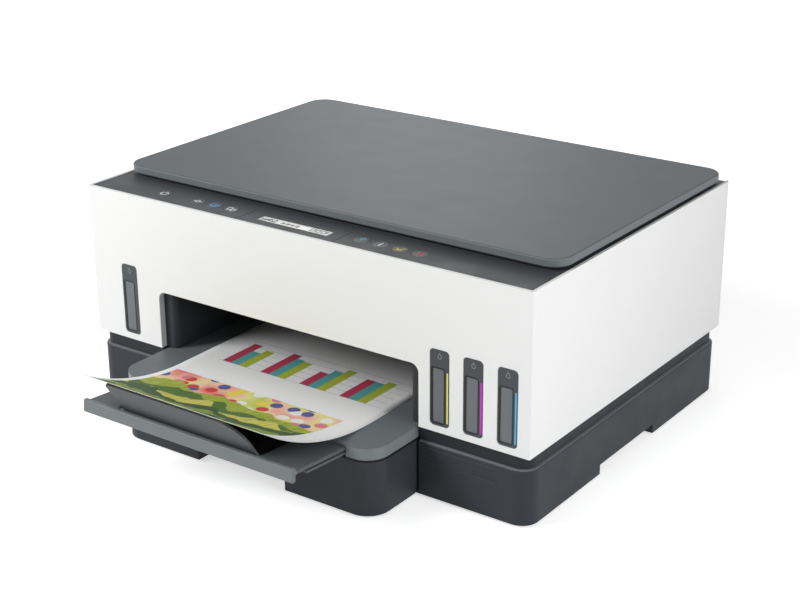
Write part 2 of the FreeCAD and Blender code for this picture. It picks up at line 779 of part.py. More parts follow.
def mouth_liner():
    left_in = MOUTH_X0 + LINER_COLUMN
    right_in = MOUTH_X1 - LINER_COLUMN
    left = liner_side(MOUTH_X0 - MOUTH_LIP_T, left_in)
    right = liner_side(MOUTH_X1 + MOUTH_LIP_T, right_in)
    roof = box(left_in - 1, right_in + 1, Y_LINER, Y_LINER_BACK, Z_MOUTH, Z_MOUTH + LINER_T)
    return join(left, right, roof)


def window_frame(x):
    half = WINDOW_W / 2 - FIT
    face = rect(x - half, x + half, Z_WINDOW + FIT, Z_WINDOW + WINDOW_H - FIT, WINDOW_R - FIT)
    plate = prism("xz", face, Y_FRONT + BEZEL_SUNK, IN_FRONT)
    wide = WINDOW_W / 2 + BEZEL_FLANGE
    top = Z_WINDOW + WINDOW_H + BEZEL_FLANGE
    flange = box(x - wide, x + wide, IN_FRONT, IN_FRONT + BEZEL_FLANGE_T, Z_WINDOW + FIT, top)
    sight = sight_outline(x, SIGHT_GAP)
    hole = prism("xz", sight, Y_FRONT - 1, IN_FRONT + BEZEL_FLANGE_T + 1)
    return join(plate, flange).cut(hole)


def sight_outline(x, grow):
    mid = x - SIGHT_SHIFT
    half = SIGHT_W / 2 + grow
    low = Z_WINDOW + SIGHT_UP - grow
    return rect(mid - half, mid + half, low, low + SIGHT_H + 2 * grow, 1.5 + grow)


def strip_box(x, grow):
    mid = x + WINDOW_W / 2 - (WINDOW_W / 2 - SIGHT_W / 2 + SIGHT_SHIFT - SIGHT_GAP) / 2
    low = Z_WINDOW + SIGHT_UP + 1
    front = Y_FRONT + BEZEL_SUNK
    half = STRIP_W / 2 + grow
    return box(mid - half, mid + half, front - grow, front + STRIP_T, low - grow, low + STRIP_H + grow)


def window_bezels():
    frames = []
    for colour, x in WINDOW_X.items():
        frame = window_frame(x)
        if colour != "black":
            frame = frame.cut(strip_box(x, FIT / 2))
        frames.append(frame)
    return Part.makeCompound(frames)


def colour_strip(colour):
    return strip_box(WINDOW_X[colour], 0)


def cap_pin():
    return TANK_BACK - 14.0, Z_SHELF + TANK_H + NECK_UP + 2.6


def ink_tank(colour):
    x = WINDOW_X[colour] + TANK_SHIFT[colour]
    half = TANK_W[colour] / 2
    top = Z_SHELF + TANK_H
    back = TANK_BACK
    body = prism("xy", bevelled(x - half, x + half, Y_TANK, back, TANK_BEVEL), Z_SHELF, top)
    sight = prism("xz", sight_outline(WINDOW_X[colour], 0), Y_FRONT + 0.7, Y_TANK + 2)
    pin_y, pin_z = cap_pin()
    neck_y = pin_y - 15.0
    neck = rod("z", top - 1, top + NECK_UP, x, neck_y, NECK_R)
    ears = []
    ear_in = CAP_W / 2 - 4 + SIDE_FIT
    for side in (-1, 1):
        x0, x1 = sorted((x + side * ear_in, x + side * (ear_in + 2)))
        ears.append(box(x0, x1, pin_y - 2.4, pin_y + 2.4, top - 1, pin_z + 2.4))
    ears.append(rod("x", x - ear_in - 2, x + ear_in + 2, pin_y, pin_z, 1.2))
    tank = join(body, sight, neck, *ears)
    w = TANK_WALL
    hollow = bevelled(x - half + w, x + half - w, Y_TANK + w, back - w, TANK_BEVEL - w)
    tank = tank.cut(prism("xy", hollow, Z_SHELF + w, top - w))
    return tank.cut(rod("z", top - w - 1, top + NECK_UP + 1, x, neck_y, NECK_R - w))


def tank_cap(colour):
    """Hinged filler cap: a lid plate with a plug into the neck and a knuckle on the pin."""
    x = WINDOW_X[colour] + TANK_SHIFT[colour]
    pin_y, pin_z = cap_pin()
    seat = Z_SHELF + TANK_H + NECK_UP
    front = pin_y - CAP_LONG
    plate = [
        (x - CAP_W / 2, front, 6.0),
        (x + CAP_W / 2, front, 6.0),
        (x + CAP_W / 2, pin_y - 3.4, 0),
        (x - CAP_W / 2, pin_y - 3.4, 0),
    ]
    lid = prism("xy", plate, seat + FIT, seat + CAP_T)
    plug = rod("z", seat - 2.0, seat + 1, x, pin_y - 15.0, NECK_R - TANK_WALL - 1.3)
    half = CAP_W / 2 - 4
    knuckle = rod("x", x - half, x + half, pin_y, pin_z, 2.4)
    web = box(x - half, x + half, pin_y - 4.4, pin_y, pin_z - 1.6, pin_z + 2.2)
    bore = rod("x", x - half - 1, x + half + 1, pin_y, pin_z, 1.2 + PIN_FIT)
    return join(lid, plug, knuckle, web).cut(bore)


def scanner_tub():
    front = Y_FRONT + TUB_INSET_FRONT
    side = TUB_SIDE
    tub = prism("xy", rect(-side, side, front, TUB_BACK, TUB_R), Z_TUB, Z_DECK_UNDER)
    hollow = rect(-side + WALL, side - WALL, front + WALL, TUB_BACK - WALL, TUB_R - WALL)
    return tub.cut(prism("xy", hollow, Z_TUB + WALL, Z_DECK_UNDER + 1))


def scan_rod():
    reach = TUB_SIDE - WALL
    return rod("x", -reach, reach, SCAN_ROD_Y, SCAN_ROD_Z, SCAN_ROD_R)


def scan_bar():
    top = Z_DECK_UNDER - 1.4
    x0, x1 = SCAN_BAR_X - SCAN_BAR_W / 2, SCAN_BAR_X + SCAN_BAR_W / 2
    z = SCAN_ROD_Z
    profile = [(x0, top - SCAN_BAR_T), (x1, top - SCAN_BAR_T), (x1, top, 2.5), (x0, top, 2.5)]
    bar = prism("xz", profile, GLASS_FRONT, GLASS_BACK)
    bearing = box(x0, x1, SCAN_ROD_Y - 9, SCAN_ROD_Y + 9, z - 6, top - SCAN_BAR_T + 1)
    bore = rod("x", x0 - 1, x1 + 1, SCAN_ROD_Y, z, SCAN_ROD_R + RUN_FIT)
    return join(bar, bearing).cut(bore)


def scanner_deck():
    plate = box(-UNIT_SIDE, UNIT_SIDE, Y_FRONT + DECK_FRONT, DECK_STEP_Y, Z_DECK_UNDER, Z_UNIT)
    half = GLASS_SIDE
    seat = Z_UNIT - GLASS_SUNK - GLASS_T
    rebate = box(-half - FIT, half + FIT, GLASS_FRONT - FIT, GLASS_BACK + FIT, seat, Z_UNIT + 1)
    d = GLASS_LEDGE
    open_box = box(-half + d, half - d, GLASS_FRONT + d, GLASS_BACK - d, Z_DECK_UNDER - 1, Z_UNIT + 1)
    plate = plate.cut(rebate).cut(open_box)
    strip_top = Z_UNIT - DECK_STEP_DROP
    strip_low = strip_top - WALL
    inner = UNIT_SIDE - DECK_CORNER_W
    riser = box(-inner, inner, DECK_STEP_Y - WALL, DECK_STEP_Y, strip_low, Z_UNIT - 1)
    strip = box(-inner, inner, DECK_STEP_Y - WALL, DECK_STRIP_BACK, strip_low, strip_top)
    adds = [riser, strip]
    for x0, x1 in ((-UNIT_SIDE, -inner), (inner, UNIT_SIDE)):
        adds.append(box(x0, x1, DECK_STEP_Y - 1, LID_BACK, Z_DECK_UNDER, Z_UNIT))
    cuts = []
    for side in (-1, 1):
        x = side * HINGE_X
        w = HINGE_KNUCKLE_W / 2
        adds.append(rod("x", x - w, x + w, HINGE_Y, HINGE_Z, HINGE_KNUCKLE_R))
        adds.append(box(x - w, x + w, HINGE_Y - 3.5, HINGE_Y + 2.5, HINGE_Z, strip_low + 1))
        cuts.append(rod("x", x - w - 1, x + w + 1, HINGE_Y, HINGE_Z, HINGE_PIN_R + PIN_FIT))
        adds.extend(lid_lugs(side * LID_HINGE_X, strip_low))
    deck = join(plate, *adds)
    for hole in cuts:
        deck = deck.cut(hole)
    return deck


def lid_lugs(x, low):
    half = LID_KNUCKLE_W / 2 + SIDE_FIT
    r = LID_KNUCKLE_R
    y, z = LID_PIN_Y, LID_PIN_Z
    points = [(y - r, low), (y + r, low), (y + r, z + r, r), (y - r, z + r, r - 0.1)]
    return [
        prism("yz", points, x - half - LID_LUG_T, x - half),
        prism("yz", points, x + half, x + half + LID_LUG_T),
        rod("x", x - half - 1, x + half + 1, y, z, LID_PIN_R),
    ]


def scanner_glass():
    seat = Z_UNIT - GLASS_SUNK - GLASS_T
    return box(-GLASS_SIDE, GLASS_SIDE, GLASS_FRONT, GLASS_BACK, seat, seat + GLASS_T)


def scanner_lid():
    half = LID_SIDE
    lid = prism("xy", rect(-half, half, LID_FRONT, LID_BACK, LID_R), Z_LID, Z_LID_TOP)
    lid = lid.makeChamfer(LID_BEVEL, flat_edges(lid, Z_LID_TOP))
    lid = lid.makeChamfer(LID_UNDER_BEVEL, flat_edges(lid, Z_LID))
    rim = LID_RIM
    hollow = rect(-half + rim, half - rim, LID_FRONT + rim, LID_BACK - rim, LID_R - rim)
    lid = lid.cut(prism("xy", hollow, Z_LID - 1, Z_LID_TOP - LID_SKIN))
    for side in (-1, 1):
        x = side * LID_HINGE_X
        wide = LID_KNUCKLE_W / 2 + 2 * SIDE_FIT + LID_LUG_T
        y, z = LID_PIN_Y, LID_PIN_Z
        r = LID_KNUCKLE_R
        lid = lid.cut(box(x - wide, x + wide, y - r - GAP, LID_BACK + 1, Z_LID - 1, z + r + 0.4))
        w = LID_KNUCKLE_W / 2
        knuckle = rod("x", x - w, x + w, y, z, LID_KNUCKLE_R)
        web = box(x - w, x + w, y - LID_KNUCKLE_R + 0.4, y + 1.5, z, Z_LID_TOP - 1)
        lid = join(lid, knuckle, web)
        lid = lid.cut(rod("x", x - w - 1, x + w + 1, y, z, LID_PIN_R + PIN_FIT))
    return lid


def lid_pad():
    low = Z_UNIT + PAD_CLEAR
    x = GLASS_SIDE - PAD_INSET
    pad = rect(-x, x, GLASS_FRONT + PAD_INSET, GLASS_BACK - PAD_INSET, 6.0)
    return prism("xy", pad, low, Z_LID_TOP - LID_SKIN)


def control_panel():
    back = Y_FRONT + DECK_FRONT - GAP
    low = Z_UNIT - PANEL_T
    panel = box(-UNIT_SIDE, UNIT_SIDE, UNIT_FRONT, back, low, Z_UNIT)
    skirt = box(-UNIT_SIDE, UNIT_SIDE, UNIT_FRONT, UNIT_FRONT + WALL, Z_UNIT - PANEL_SKIRT, Z_UNIT)
    bosses = []
    boss_y = BUTTON_Y + PANEL_BOARD_W / 2 - 4
    for x in (PANEL_BOARD_X0 + 4, (SCREEN_X0 + SCREEN_X1) / 2, PANEL_BOARD_X1 - 4):
        bosses.append(box(x - 2, x + 2, boss_y - 2, boss_y + 2, PANEL_BOARD_TOP, low + 0.5))
    panel = join(panel, skirt, *bosses)
    for x in BUTTON_X.values():
        panel = panel.cut(rod("z", low - 1, Z_UNIT + 1, x, BUTTON_Y, BUTTON_R + BUTTON_GAP))
    bed = Z_UNIT - SCREEN_SUNK - SCREEN_T
    screen = box(SCREEN_X0 - FIT, SCREEN_X1 + FIT, SCREEN_Y0 - FIT, SCREEN_Y1 + FIT, bed, Z_UNIT + 1)
    ring = box(PATCH_X0, PATCH_X1, UNIT_FRONT - 1, PATCH_Y1, Z_UNIT - GROOVE, Z_UNIT + 1)
    g = GROOVE
    field = box(PATCH_X0 + g, PATCH_X1 - g, UNIT_FRONT - 2, PATCH_Y1 - g, Z_UNIT - 2 * g, Z_UNIT + 2)
    return panel.cut(screen).cut(ring.cut(field))


def panel_board():
    top = PANEL_BOARD_TOP
    half = PANEL_BOARD_W / 2
    board = box(PANEL_BOARD_X0, PANEL_BOARD_X1, BUTTON_Y - half, BUTTON_Y + half, top - BOARD_T, top)
    side = SWITCH_W / 2
    switches = []
    for x in BUTTON_X.values():
        switches.append(box(x - side, x + side, BUTTON_Y - side, BUTTON_Y + side, top - 0.5, top + SWITCH_H))
    return join(board, *switches)


def display_screen():
    bed = Z_UNIT - SCREEN_SUNK - SCREEN_T
    return box(SCREEN_X0, SCREEN_X1, SCREEN_Y0, SCREEN_Y1, bed, bed + SCREEN_T)


def button(name):
    x = BUTTON_X[name]
    top = Z_UNIT + BUTTON_PROUD
    cap = rod("z", top - BUTTON_T, top, x, BUTTON_Y, BUTTON_R)
    low = PANEL_BOARD_TOP + SWITCH_H + BUTTON_TRAVEL + FIT
    w = BUTTON_STEM_W / 2
    stem = box(x - w, x + w, BUTTON_Y - w, BUTTON_Y + w, low, top - 1)
    return join(cap, stem)


def tray_outline(inset, back):
    x0, x1 = TRAY_X0 + inset, TRAY_X1 - inset
    front = TRAY_FRONT + inset
    r = TRAY_R - inset
    return [(x0, front, r), (x1, front, r), (x1, back, 0), (x0, back, 0)]


def input_tray():
    z_in = Z_FLOOR + TRAY_CLEAR
    front = prism("xy", tray_outline(0, Y_FRONT - 1.2), Z_BASE, Z_TRAY)
    rear = box(TRAY_X0, TRAY_X1, Y_FRONT - 1.2, TRAY_BACK, z_in, Z_TRAY)
    tray = front.fuse(rear)
    hollow = tray_outline(TRAY_WALL, TRAY_BACK - TRAY_WALL)
    tray = tray.cut(prism("xy", hollow, z_in + TRAY_FLOOR, Z_TRAY + 1))
    hood_top = Z_BASE + RECESS_H + TRAY_WALL
    hood_back = TRAY_FRONT + RECESS_DEEP + TRAY_WALL
    hood = box(RECESS_X0 - TRAY_WALL, RECESS_X1 + TRAY_WALL, TRAY_FRONT + 1, hood_back, Z_BASE + 1, hood_top)
    tray = tray.fuse(hood)
    recess = box(RECESS_X0, RECESS_X1, TRAY_FRONT - 1, hood_back - TRAY_WALL, Z_BASE - 1, Z_BASE + RECESS_H)
    tray = tray.cut(recess)
    x0, x1 = TRAY_X0 + TRAY_WALL, TRAY_X1 - TRAY_WALL
    wall_top = PICKUP_Z - PICKUP_R - TRAY_ROLLER_GAP
    tray = tray.cut(box(x0, x1, TRAY_BACK - 9, TRAY_BACK + 1, wall_top, Z_TRAY + 1))
    return tray.removeSplitter()


def sloped(shape):
    """Turn a level piece to the slope of the extension about the tray's front edge."""
    shape.rotate(Vector(0, TRAY_FRONT, EXT_Z), Vector(1, 0, 0), -EXT_SLOPE)
    return shape


def output_cover():
    low = Z_TRAY
    cover = prism("xy", tray_outline(COVER_INSET, COVER_BACK), low, Z_COVER)
    under = Z_COVER - COVER_SKIN
    inner = tray_outline(COVER_INSET + COVER_RIM, COVER_BACK - COVER_RIM)
    cover = cover.cut(prism("xy", inner, low - 1, under))
    slot0, slot1 = EXT_X0 - EXT_SIDE_GAP, EXT_X1 + EXT_SIDE_GAP
    corners = []
    for x0, x1 in ((slot0 - 2 * COVER_RIM, slot0), (slot1, slot1 + 2 * COVER_RIM)):
        post = box(x0, x1, TRAY_FRONT + COVER_INSET, TRAY_FRONT + 12, low, under + 1)
        wall = box(x0, x1, TRAY_FRONT + 8, TRAY_FRONT + EXT_IN + EXT_OUT, low - COVER_WALL_DROP, under + 1)
        corners.extend([post, wall])
    tongue_low = EXT_Z - EXT_T - EXT_GROOVE + EXT_CLEAR
    tongue_high = EXT_Z - EXT_T - EXT_CLEAR
    reach = EXT_GROOVE_DEEP - EXT_CLEAR
    tongue_back = TRAY_FRONT + EXT_IN + EXT_OUT
    for x0, x1 in ((slot0 - 1, EXT_X0 + reach), (EXT_X1 - reach, slot1 + 1)):
        corners.append(sloped(box(x0, x1, TRAY_FRONT + 3, tongue_back, tongue_low, tongue_high)))
    cover = cover.cut(box(slot0, slot1, TRAY_FRONT - 1, TRAY_FRONT + 12, low - 1, under))
    cover = join(cover, *corners)
    bay_back = TRAY_FRONT + CATCH_FROM_LIP + CATCH_LEN + POCKET_GAP
    bay = [
        (CATCH_X0 - 10, TRAY_FRONT - 2, 0),
        (CATCH_X1 + 5, TRAY_FRONT - 2, 0),
        (CATCH_X1 + 5, bay_back, 6.0),
        (CATCH_X0 - 10, bay_back, 6.0),
    ]
    return cover.cut(prism("xy", bay, under - 1, Z_COVER + 1))


def tray_extension():
    front = TRAY_FRONT - EXT_OUT
    back = TRAY_FRONT + EXT_IN
    plate = box(EXT_X0, EXT_X1, front, back, EXT_Z - EXT_T, EXT_Z)
    lip = prism(
        "yz",
        [(front - LIP_T, EXT_Z + LIP_PROUD - LIP_H, 1.0), (front, EXT_Z + LIP_PROUD - LIP_H),
         (front, EXT_Z + LIP_PROUD, 0.6), (front - LIP_T, EXT_Z + LIP_PROUD, 1.0)],
        EXT_X0,
        EXT_X1,
    )
    rail_high = EXT_Z - EXT_T - EXT_GROOVE
    rails = []
    for edge, side in ((EXT_X0, 1), (EXT_X1, -1)):
        x0, x1 = sorted((edge, edge + side * EXT_RAIL_W))
        w0, w1 = sorted((edge + side * EXT_GROOVE_DEEP, edge + side * EXT_RAIL_W))
        rails.append(box(x0, x1, front + EXT_RAIL_BACK, back, rail_high - EXT_RAIL_T, rail_high))
        rails.append(box(w0, w1, front + EXT_RAIL_BACK, back, rail_high - 1, EXT_Z - 1))
    ext = join(plate, lip, *rails)
    pocket_back = CATCH_Y + CATCH_LEN + POCKET_LONG
    pocket = rect(CATCH_X0 - POCKET_GAP - CATCH_FLARE, CATCH_X1 + POCKET_GAP, CATCH_Y - 3, pocket_back, 3.0)
    ext = ext.cut(prism("xy", pocket, EXT_Z - EXT_T - 1, EXT_Z + 1))
    reach = POCKET_GAP + CATCH_FLARE + 3
    hole = rod("x", CATCH_X0 - reach, CATCH_X1 + reach, CATCH_Y, CATCH_Z, CATCH_PIN_R + RUN_FIT)
    return sloped(ext.cut(hole))


def paper_catch():
    """Flap with one large round end, drawn lying back and then raised past upright."""
    flap = [
        (CATCH_X0, CATCH_Y),
        (CATCH_X1, CATCH_Y),
        (CATCH_X1 - 3, CATCH_Y + CATCH_LEN, CATCH_END_R),
        (CATCH_X0 - CATCH_FLARE, CATCH_Y + CATCH_LEN, 3.0),
    ]
    plate = prism("xy", flap, CATCH_Z - CATCH_T / 2, CATCH_Z + CATCH_T / 2)
    barrel = rod("x", CATCH_X0, CATCH_X1, CATCH_Y, CATCH_Z, CATCH_BARREL_R)
    left = rod("x", CATCH_X0 - POCKET_GAP - CATCH_FLARE - 2, CATCH_X0 + 1, CATCH_Y, CATCH_Z, CATCH_PIN_R)
    right = rod("x", CATCH_X1 - 1, CATCH_X1 + POCKET_GAP + 2, CATCH_Y, CATCH_Z, CATCH_PIN_R)
    catch = join(plate, barrel, left, right)
    catch.rotate(Vector(0, CATCH_Y, CATCH_Z), Vector(1, 0, 0), CATCH_LEAN + EXT_SLOPE)
    return sloped(catch)


def curl_radius(low):
    """Radius of the sheet's curl that just clears the raised catch."""
    lean = math.radians(CATCH_LEAN + EXT_SLOPE)
    slope = math.radians(EXT_SLOPE)
    pivot = sloped(Part.Vertex(0, CATCH_Y, CATCH_Z))
    radii = []
    for side in (-CATCH_T / 2, CATCH_T / 2):
        y = CATCH_LEN * math.cos(lean) - side * math.sin(lean)
        z = CATCH_LEN * math.sin(lean) + side * math.cos(lean)
        tip_y = pivot.Y + y * math.cos(slope) + z * math.sin(slope)
        tip_z = pivot.Z - y * math.sin(slope) + z * math.cos(slope)
        run = SHEET_CURL_Y - tip_y
        rise = tip_z - low
        radii.append((run ** 2 + rise ** 2 - SHEET_LIFT ** 2) / (2 * (rise + SHEET_LIFT)))
    return min(radii)


def printed_sheet():
    """Sheet lying on the cover, its front end curling up onto the catch."""
    low = Z_COVER + SHEET_LIFT
    outer = curl_radius(low)
    inner = outer - SHEET_T
    turn = SHEET_CURL_LONG / outer
    flat = SHEET_L - SHEET_CURL_LONG

    def on_curl(angle, r):
        return Vector(0, SHEET_CURL_Y - r * math.sin(angle), low + outer - r * math.cos(angle))

    back = SHEET_CURL_Y + flat
    edges = [
        Part.makeLine(Vector(0, back, low), on_curl(0, outer)),
        Part.Arc(*[on_curl(a, outer) for a in (0, turn / 2, turn)]).toShape(),
        Part.makeLine(on_curl(turn, outer), on_curl(turn, inner)),
        Part.Arc(*[on_curl(a, inner) for a in (turn, turn / 2, 0)]).toShape(),
        Part.makeLine(on_curl(0, inner), Vector(0, back, low + SHEET_T)),
        Part.makeLine(Vector(0, back, low + SHEET_T), Vector(0, back, low)),
    ]
    sheet = Part.Face(Part.Wire(edges)).extrude(Vector(SHEET_W, 0, 0))
    sheet.translate(Vector(TRAY_X - SHEET_W / 2, 0, 0))
    return sheet


def engine_frame():
    t = FRAME_T
    left = box(FRAME_LEFT - t, FRAME_LEFT, FRAME_FRONT, FRAME_BACK, Z_FLOOR, FRAME_TOP)
    mid = box(FRAME_MID, FRAME_MID + t, FRAME_FRONT, FRAME_BACK, Z_FLOOR, FEED_Z + FRAME_MID_RISE)
    right = box(FRAME_RIGHT, FRAME_RIGHT + t, FEED_Y + 18, FRAME_BACK, Z_FLOOR, FRAME_TOP)
    web = box(FRAME_LEFT - t, FRAME_RIGHT + t, FRAME_BACK - t, FRAME_BACK, FEED_Z + WEB_RISE, FRAME_TOP)
    bar_low = FEED_Z - CROSSBAR_DROP
    bar = box(FRAME_LEFT - t, FRAME_MID + t, FRAME_BACK - t, FRAME_BACK, bar_low, bar_low + CROSSBAR_H)
    idler_pin = rod("y", BELT_Y - 1, FRAME_BACK - t, BELT_X1, BELT_Z, MOTOR_SHAFT_R)
    parts = [mid, right, web, bar, idler_pin]
    half = PICKUP_SPAN / 2 + PICKUP_W + 2
    for x in (TRAY_X - half - t, TRAY_X + half):
        arm = [
            (FRAME_BACK, bar_low),
            (FRAME_BACK, bar_low + CROSSBAR_H),
            (PICKUP_Y - 2, PICKUP_Z + 9),
            (PICKUP_Y - 5, PICKUP_Z + 6),
            (PICKUP_Y - 5, PICKUP_Z - 5),
            (PICKUP_Y + 7, PICKUP_Z - 5),
        ]
        parts.append(prism("yz", arm, x, x + t))
    frame = join(left, *parts)
    ends = (FRAME_LEFT - t - 1, FRAME_MID + t + 1)
    frame = frame.cut(rod("x", *ends, FEED_Y, FEED_Z, FEED_SHAFT_R + RUN_FIT))
    frame = frame.cut(rod("x", *ends, OUT_Y, OUT_Z, OUT_SHAFT_R + RUN_FIT))
    reach = half + 3
    bore = rod("x", TRAY_X - reach, TRAY_X + reach, PICKUP_Y, PICKUP_Z, PICKUP_SHAFT_R + RUN_FIT)
    frame = frame.cut(bore)
    return frame.cut(rod("y", FRAME_BACK - t - 1, FRAME_BACK + 1, BELT_X0, BELT_Z, MOTOR_SHAFT_R + 0.5))


def carriage_rail():
    back = FRAME_BACK - FRAME_T
    top = FRAME_TOP - 1
    points = [
        (back, RAIL_LOW),
        (back, top),
        (RAIL_FRONT, top),
        (RAIL_FRONT, top - RAIL_LIP_H),
        (RAIL_FRONT + RAIL_T, top - RAIL_LIP_H),
        (RAIL_FRONT + RAIL_T, top - RAIL_T),
        (back - RAIL_T, top - RAIL_T),
        (back - RAIL_T, RAIL_LOW),
    ]
    rail = prism("yz", points, FRAME_LEFT, FRAME_RIGHT)
    for x in (BELT_X0, BELT_X1):
        rail = rail.cut(rod("y", back - RAIL_T - 1, back + 1, x, BELT_Z, MOTOR_SHAFT_R + 1.5))
    return rail


def platen():
    deck = box(FRAME_LEFT, FRAME_MID, PLATEN_FRONT, PLATEN_BACK, PLATEN_LOW, PLATEN_LOW + PLATEN_T)
    top = PLATEN_LOW + PLATEN_T
    ribs = []
    pitch = (FRAME_MID - FRAME_LEFT - 24) / (PLATEN_RIBS - 1)
    profile = [
        (PLATEN_FRONT, top - 1),
        (PLATEN_BACK, top - 1),
        (PLATEN_BACK - 3, top + PLATEN_RIB_H),
        (PLATEN_FRONT + 3, top + PLATEN_RIB_H),
    ]
    for i in range(PLATEN_RIBS):
        x = FRAME_LEFT + 12 + i * pitch
        ribs.append(prism("yz", profile, x - PLATEN_RIB_T / 2, x + PLATEN_RIB_T / 2))
    return join(deck, *ribs)


def print_carriage():
    x0, x1 = CARRIAGE_X - CARRIAGE_W / 2, CARRIAGE_X + CARRIAGE_W / 2
    top = CARRIAGE_LOW + CARRIAGE_H
    lip_low = FRAME_TOP - 1 - RAIL_LIP_H
    slot0, slot1 = RAIL_FRONT - SIDE_FIT, RAIL_FRONT + RAIL_T + SIDE_FIT
    points = [
        (CARRIAGE_FRONT, CARRIAGE_LOW, 3.0),
        (CARRIAGE_BACK, CARRIAGE_LOW),
        (CARRIAGE_BACK, lip_low - 14),
        (slot1 + 3, lip_low - 6),
        (slot1 + 3, lip_low + 5),
        (slot1, lip_low + 5),
        (slot1, lip_low - SIDE_FIT),
        (slot0, lip_low - SIDE_FIT),
        (slot0, lip_low + 5),
        (CARRIAGE_BACK, lip_low + 5),
        (CARRIAGE_BACK, top, 0),
        (CARRIAGE_FRONT + 14, top, 6.0),
        (CARRIAGE_FRONT, top - 18, 6.0),
    ]
    body = prism("yz", points, x0, x1)
    clamp = box(
        CARRIAGE_X - 8,
        CARRIAGE_X + 8,
        slot1 + 1,
        BELT_Y + BELT_W,
        BELT_Z + 1,
        BELT_Z + BELT_PULLEY_R - FIT,
    )
    body = join(body, clamp)
    for x in head_places():
        w = HEAD_W / 2 + FIT
        back = CARRIAGE_FRONT + 8 + HEAD_L + FIT
        bay = box(x - w, x + w, CARRIAGE_FRONT + 8 - FIT, back, CARRIAGE_LOW + CARRIAGE_WALL, top + 1)
        nose_w = HEAD_NOSE_W / 2 + SIDE_FIT
        mid = CARRIAGE_FRONT + 8 + HEAD_L / 2
        nose_l = HEAD_NOSE_L / 2 + SIDE_FIT
        nose = box(x - nose_w, x + nose_w, mid - nose_l, mid + nose_l, CARRIAGE_LOW - 1, CARRIAGE_LOW + 9)
        body = body.cut(bay).cut(nose)
    return body


def head_places():
    return (CARRIAGE_X - CARRIAGE_W / 4, CARRIAGE_X + CARRIAGE_W / 4)


def printheads():
    heads = []
    low = CARRIAGE_LOW + CARRIAGE_WALL
    for x in head_places():
        front = CARRIAGE_FRONT + 8
        block = rect(x - HEAD_W / 2, x + HEAD_W / 2, front, front + HEAD_L, 2.0)
        body = prism("xy", block, low, low + HEAD_H)
        mid = front + HEAD_L / 2
        nose = box(
            x - HEAD_NOSE_W / 2,
            x + HEAD_NOSE_W / 2,
            mid - HEAD_NOSE_L / 2,
            mid + HEAD_NOSE_L / 2,
            CARRIAGE_LOW - HEAD_NOSE_H,
            low + 1,
        )
        heads.append(join(body, nose))
    return Part.makeCompound(heads)


def carriage_wheels():
    return [(BELT_X0, BELT_Z, BELT_PULLEY_R), (BELT_X1, BELT_Z, BELT_PULLEY_R)]


def drive_belt():
    return belt("xz", carriage_wheels(), BELT_Y, BELT_Y + BELT_W)


def motor_pulley():
    wheel = rod("y", BELT_Y, BELT_Y + BELT_W, BELT_X0, BELT_Z, BELT_PULLEY_R)
    shaft = rod("y", BELT_Y, FRAME_BACK + 12, BELT_X0, BELT_Z, MOTOR_SHAFT_R)
    return join(wheel, shaft)


def idler_pulley():
    wheel = rod("y", BELT_Y, BELT_Y + BELT_W, BELT_X1, BELT_Z, BELT_PULLEY_R)
    return wheel.cut(rod("y", BELT_Y - 1, BELT_Y + BELT_W + 1, BELT_X1, BELT_Z, MOTOR_SHAFT_R + RUN_FIT))


def carriage_motor():
    body = rod("y", FRAME_BACK, FRAME_BACK + MOTOR_L, BELT_X0, BELT_Z, MOTOR_R)
    return body.cut(rod("y", FRAME_BACK - 1, FRAME_BACK + 13, BELT_X0, BELT_Z, MOTOR_SHAFT_R + RUN_FIT))


def pulley_x():
    return FRAME_LEFT - FRAME_T - PULLEY_OFF - PULLEY_W


def feed_roller():
    end = pulley_x()
    shaft = rod("x", end - FEED_MOTOR_L / 2, FRAME_MID + FRAME_T + 1.5, FEED_Y, FEED_Z, FEED_SHAFT_R)
    sleeve = rod("x", FRAME_LEFT + 8, FRAME_MID - 8, FEED_Y, FEED_Z, FEED_R)
    wheel = rod("x", end, end + PULLEY_W, FEED_Y, FEED_Z, FEED_PULLEY_R)
    return join(shaft, sleeve, wheel)


def out_pulley_r():
    return FEED_PULLEY_R * OUT_R / FEED_R


def output_roller():
    end = pulley_x()
    pieces = [rod("x", end, end + PULLEY_W, OUT_Y, OUT_Z, out_pulley_r())]
    pitch = (FRAME_MID - FRAME_LEFT - 60) / (OUT_TYRES - 1)
    for i in range(OUT_TYRES):
        x = FRAME_LEFT + 30 + i * pitch
        pieces.append(rod("x", x - OUT_TYRE_W / 2, x + OUT_TYRE_W / 2, OUT_Y, OUT_Z, OUT_R))
    shaft = rod("x", end - 1, FRAME_MID + FRAME_T + 1.5, OUT_Y, OUT_Z, OUT_SHAFT_R)
    return join(shaft, *pieces)


def feed_belt():
    wheels = [(OUT_Y, OUT_Z, out_pulley_r()), (FEED_Y, FEED_Z, FEED_PULLEY_R)]
    return belt("yz", wheels, pulley_x(), pulley_x() + PULLEY_W)


def feed_motor():
    """Motor round the end of the feed shaft, standing on the floor by a foot."""
    end = pulley_x() - 2
    body = rod("x", end - FEED_MOTOR_L, end, FEED_Y, FEED_Z, FEED_MOTOR_R)
    foot = box(end - FEED_MOTOR_L, end, FEED_Y - 12, FEED_Y + 12, Z_FLOOR, FEED_Z - 6)
    bore = rod("x", end - FEED_MOTOR_L * 0.7, end + 1, FEED_Y, FEED_Z, FEED_SHAFT_R + RUN_FIT)
    return join(body, foot).cut(bore)


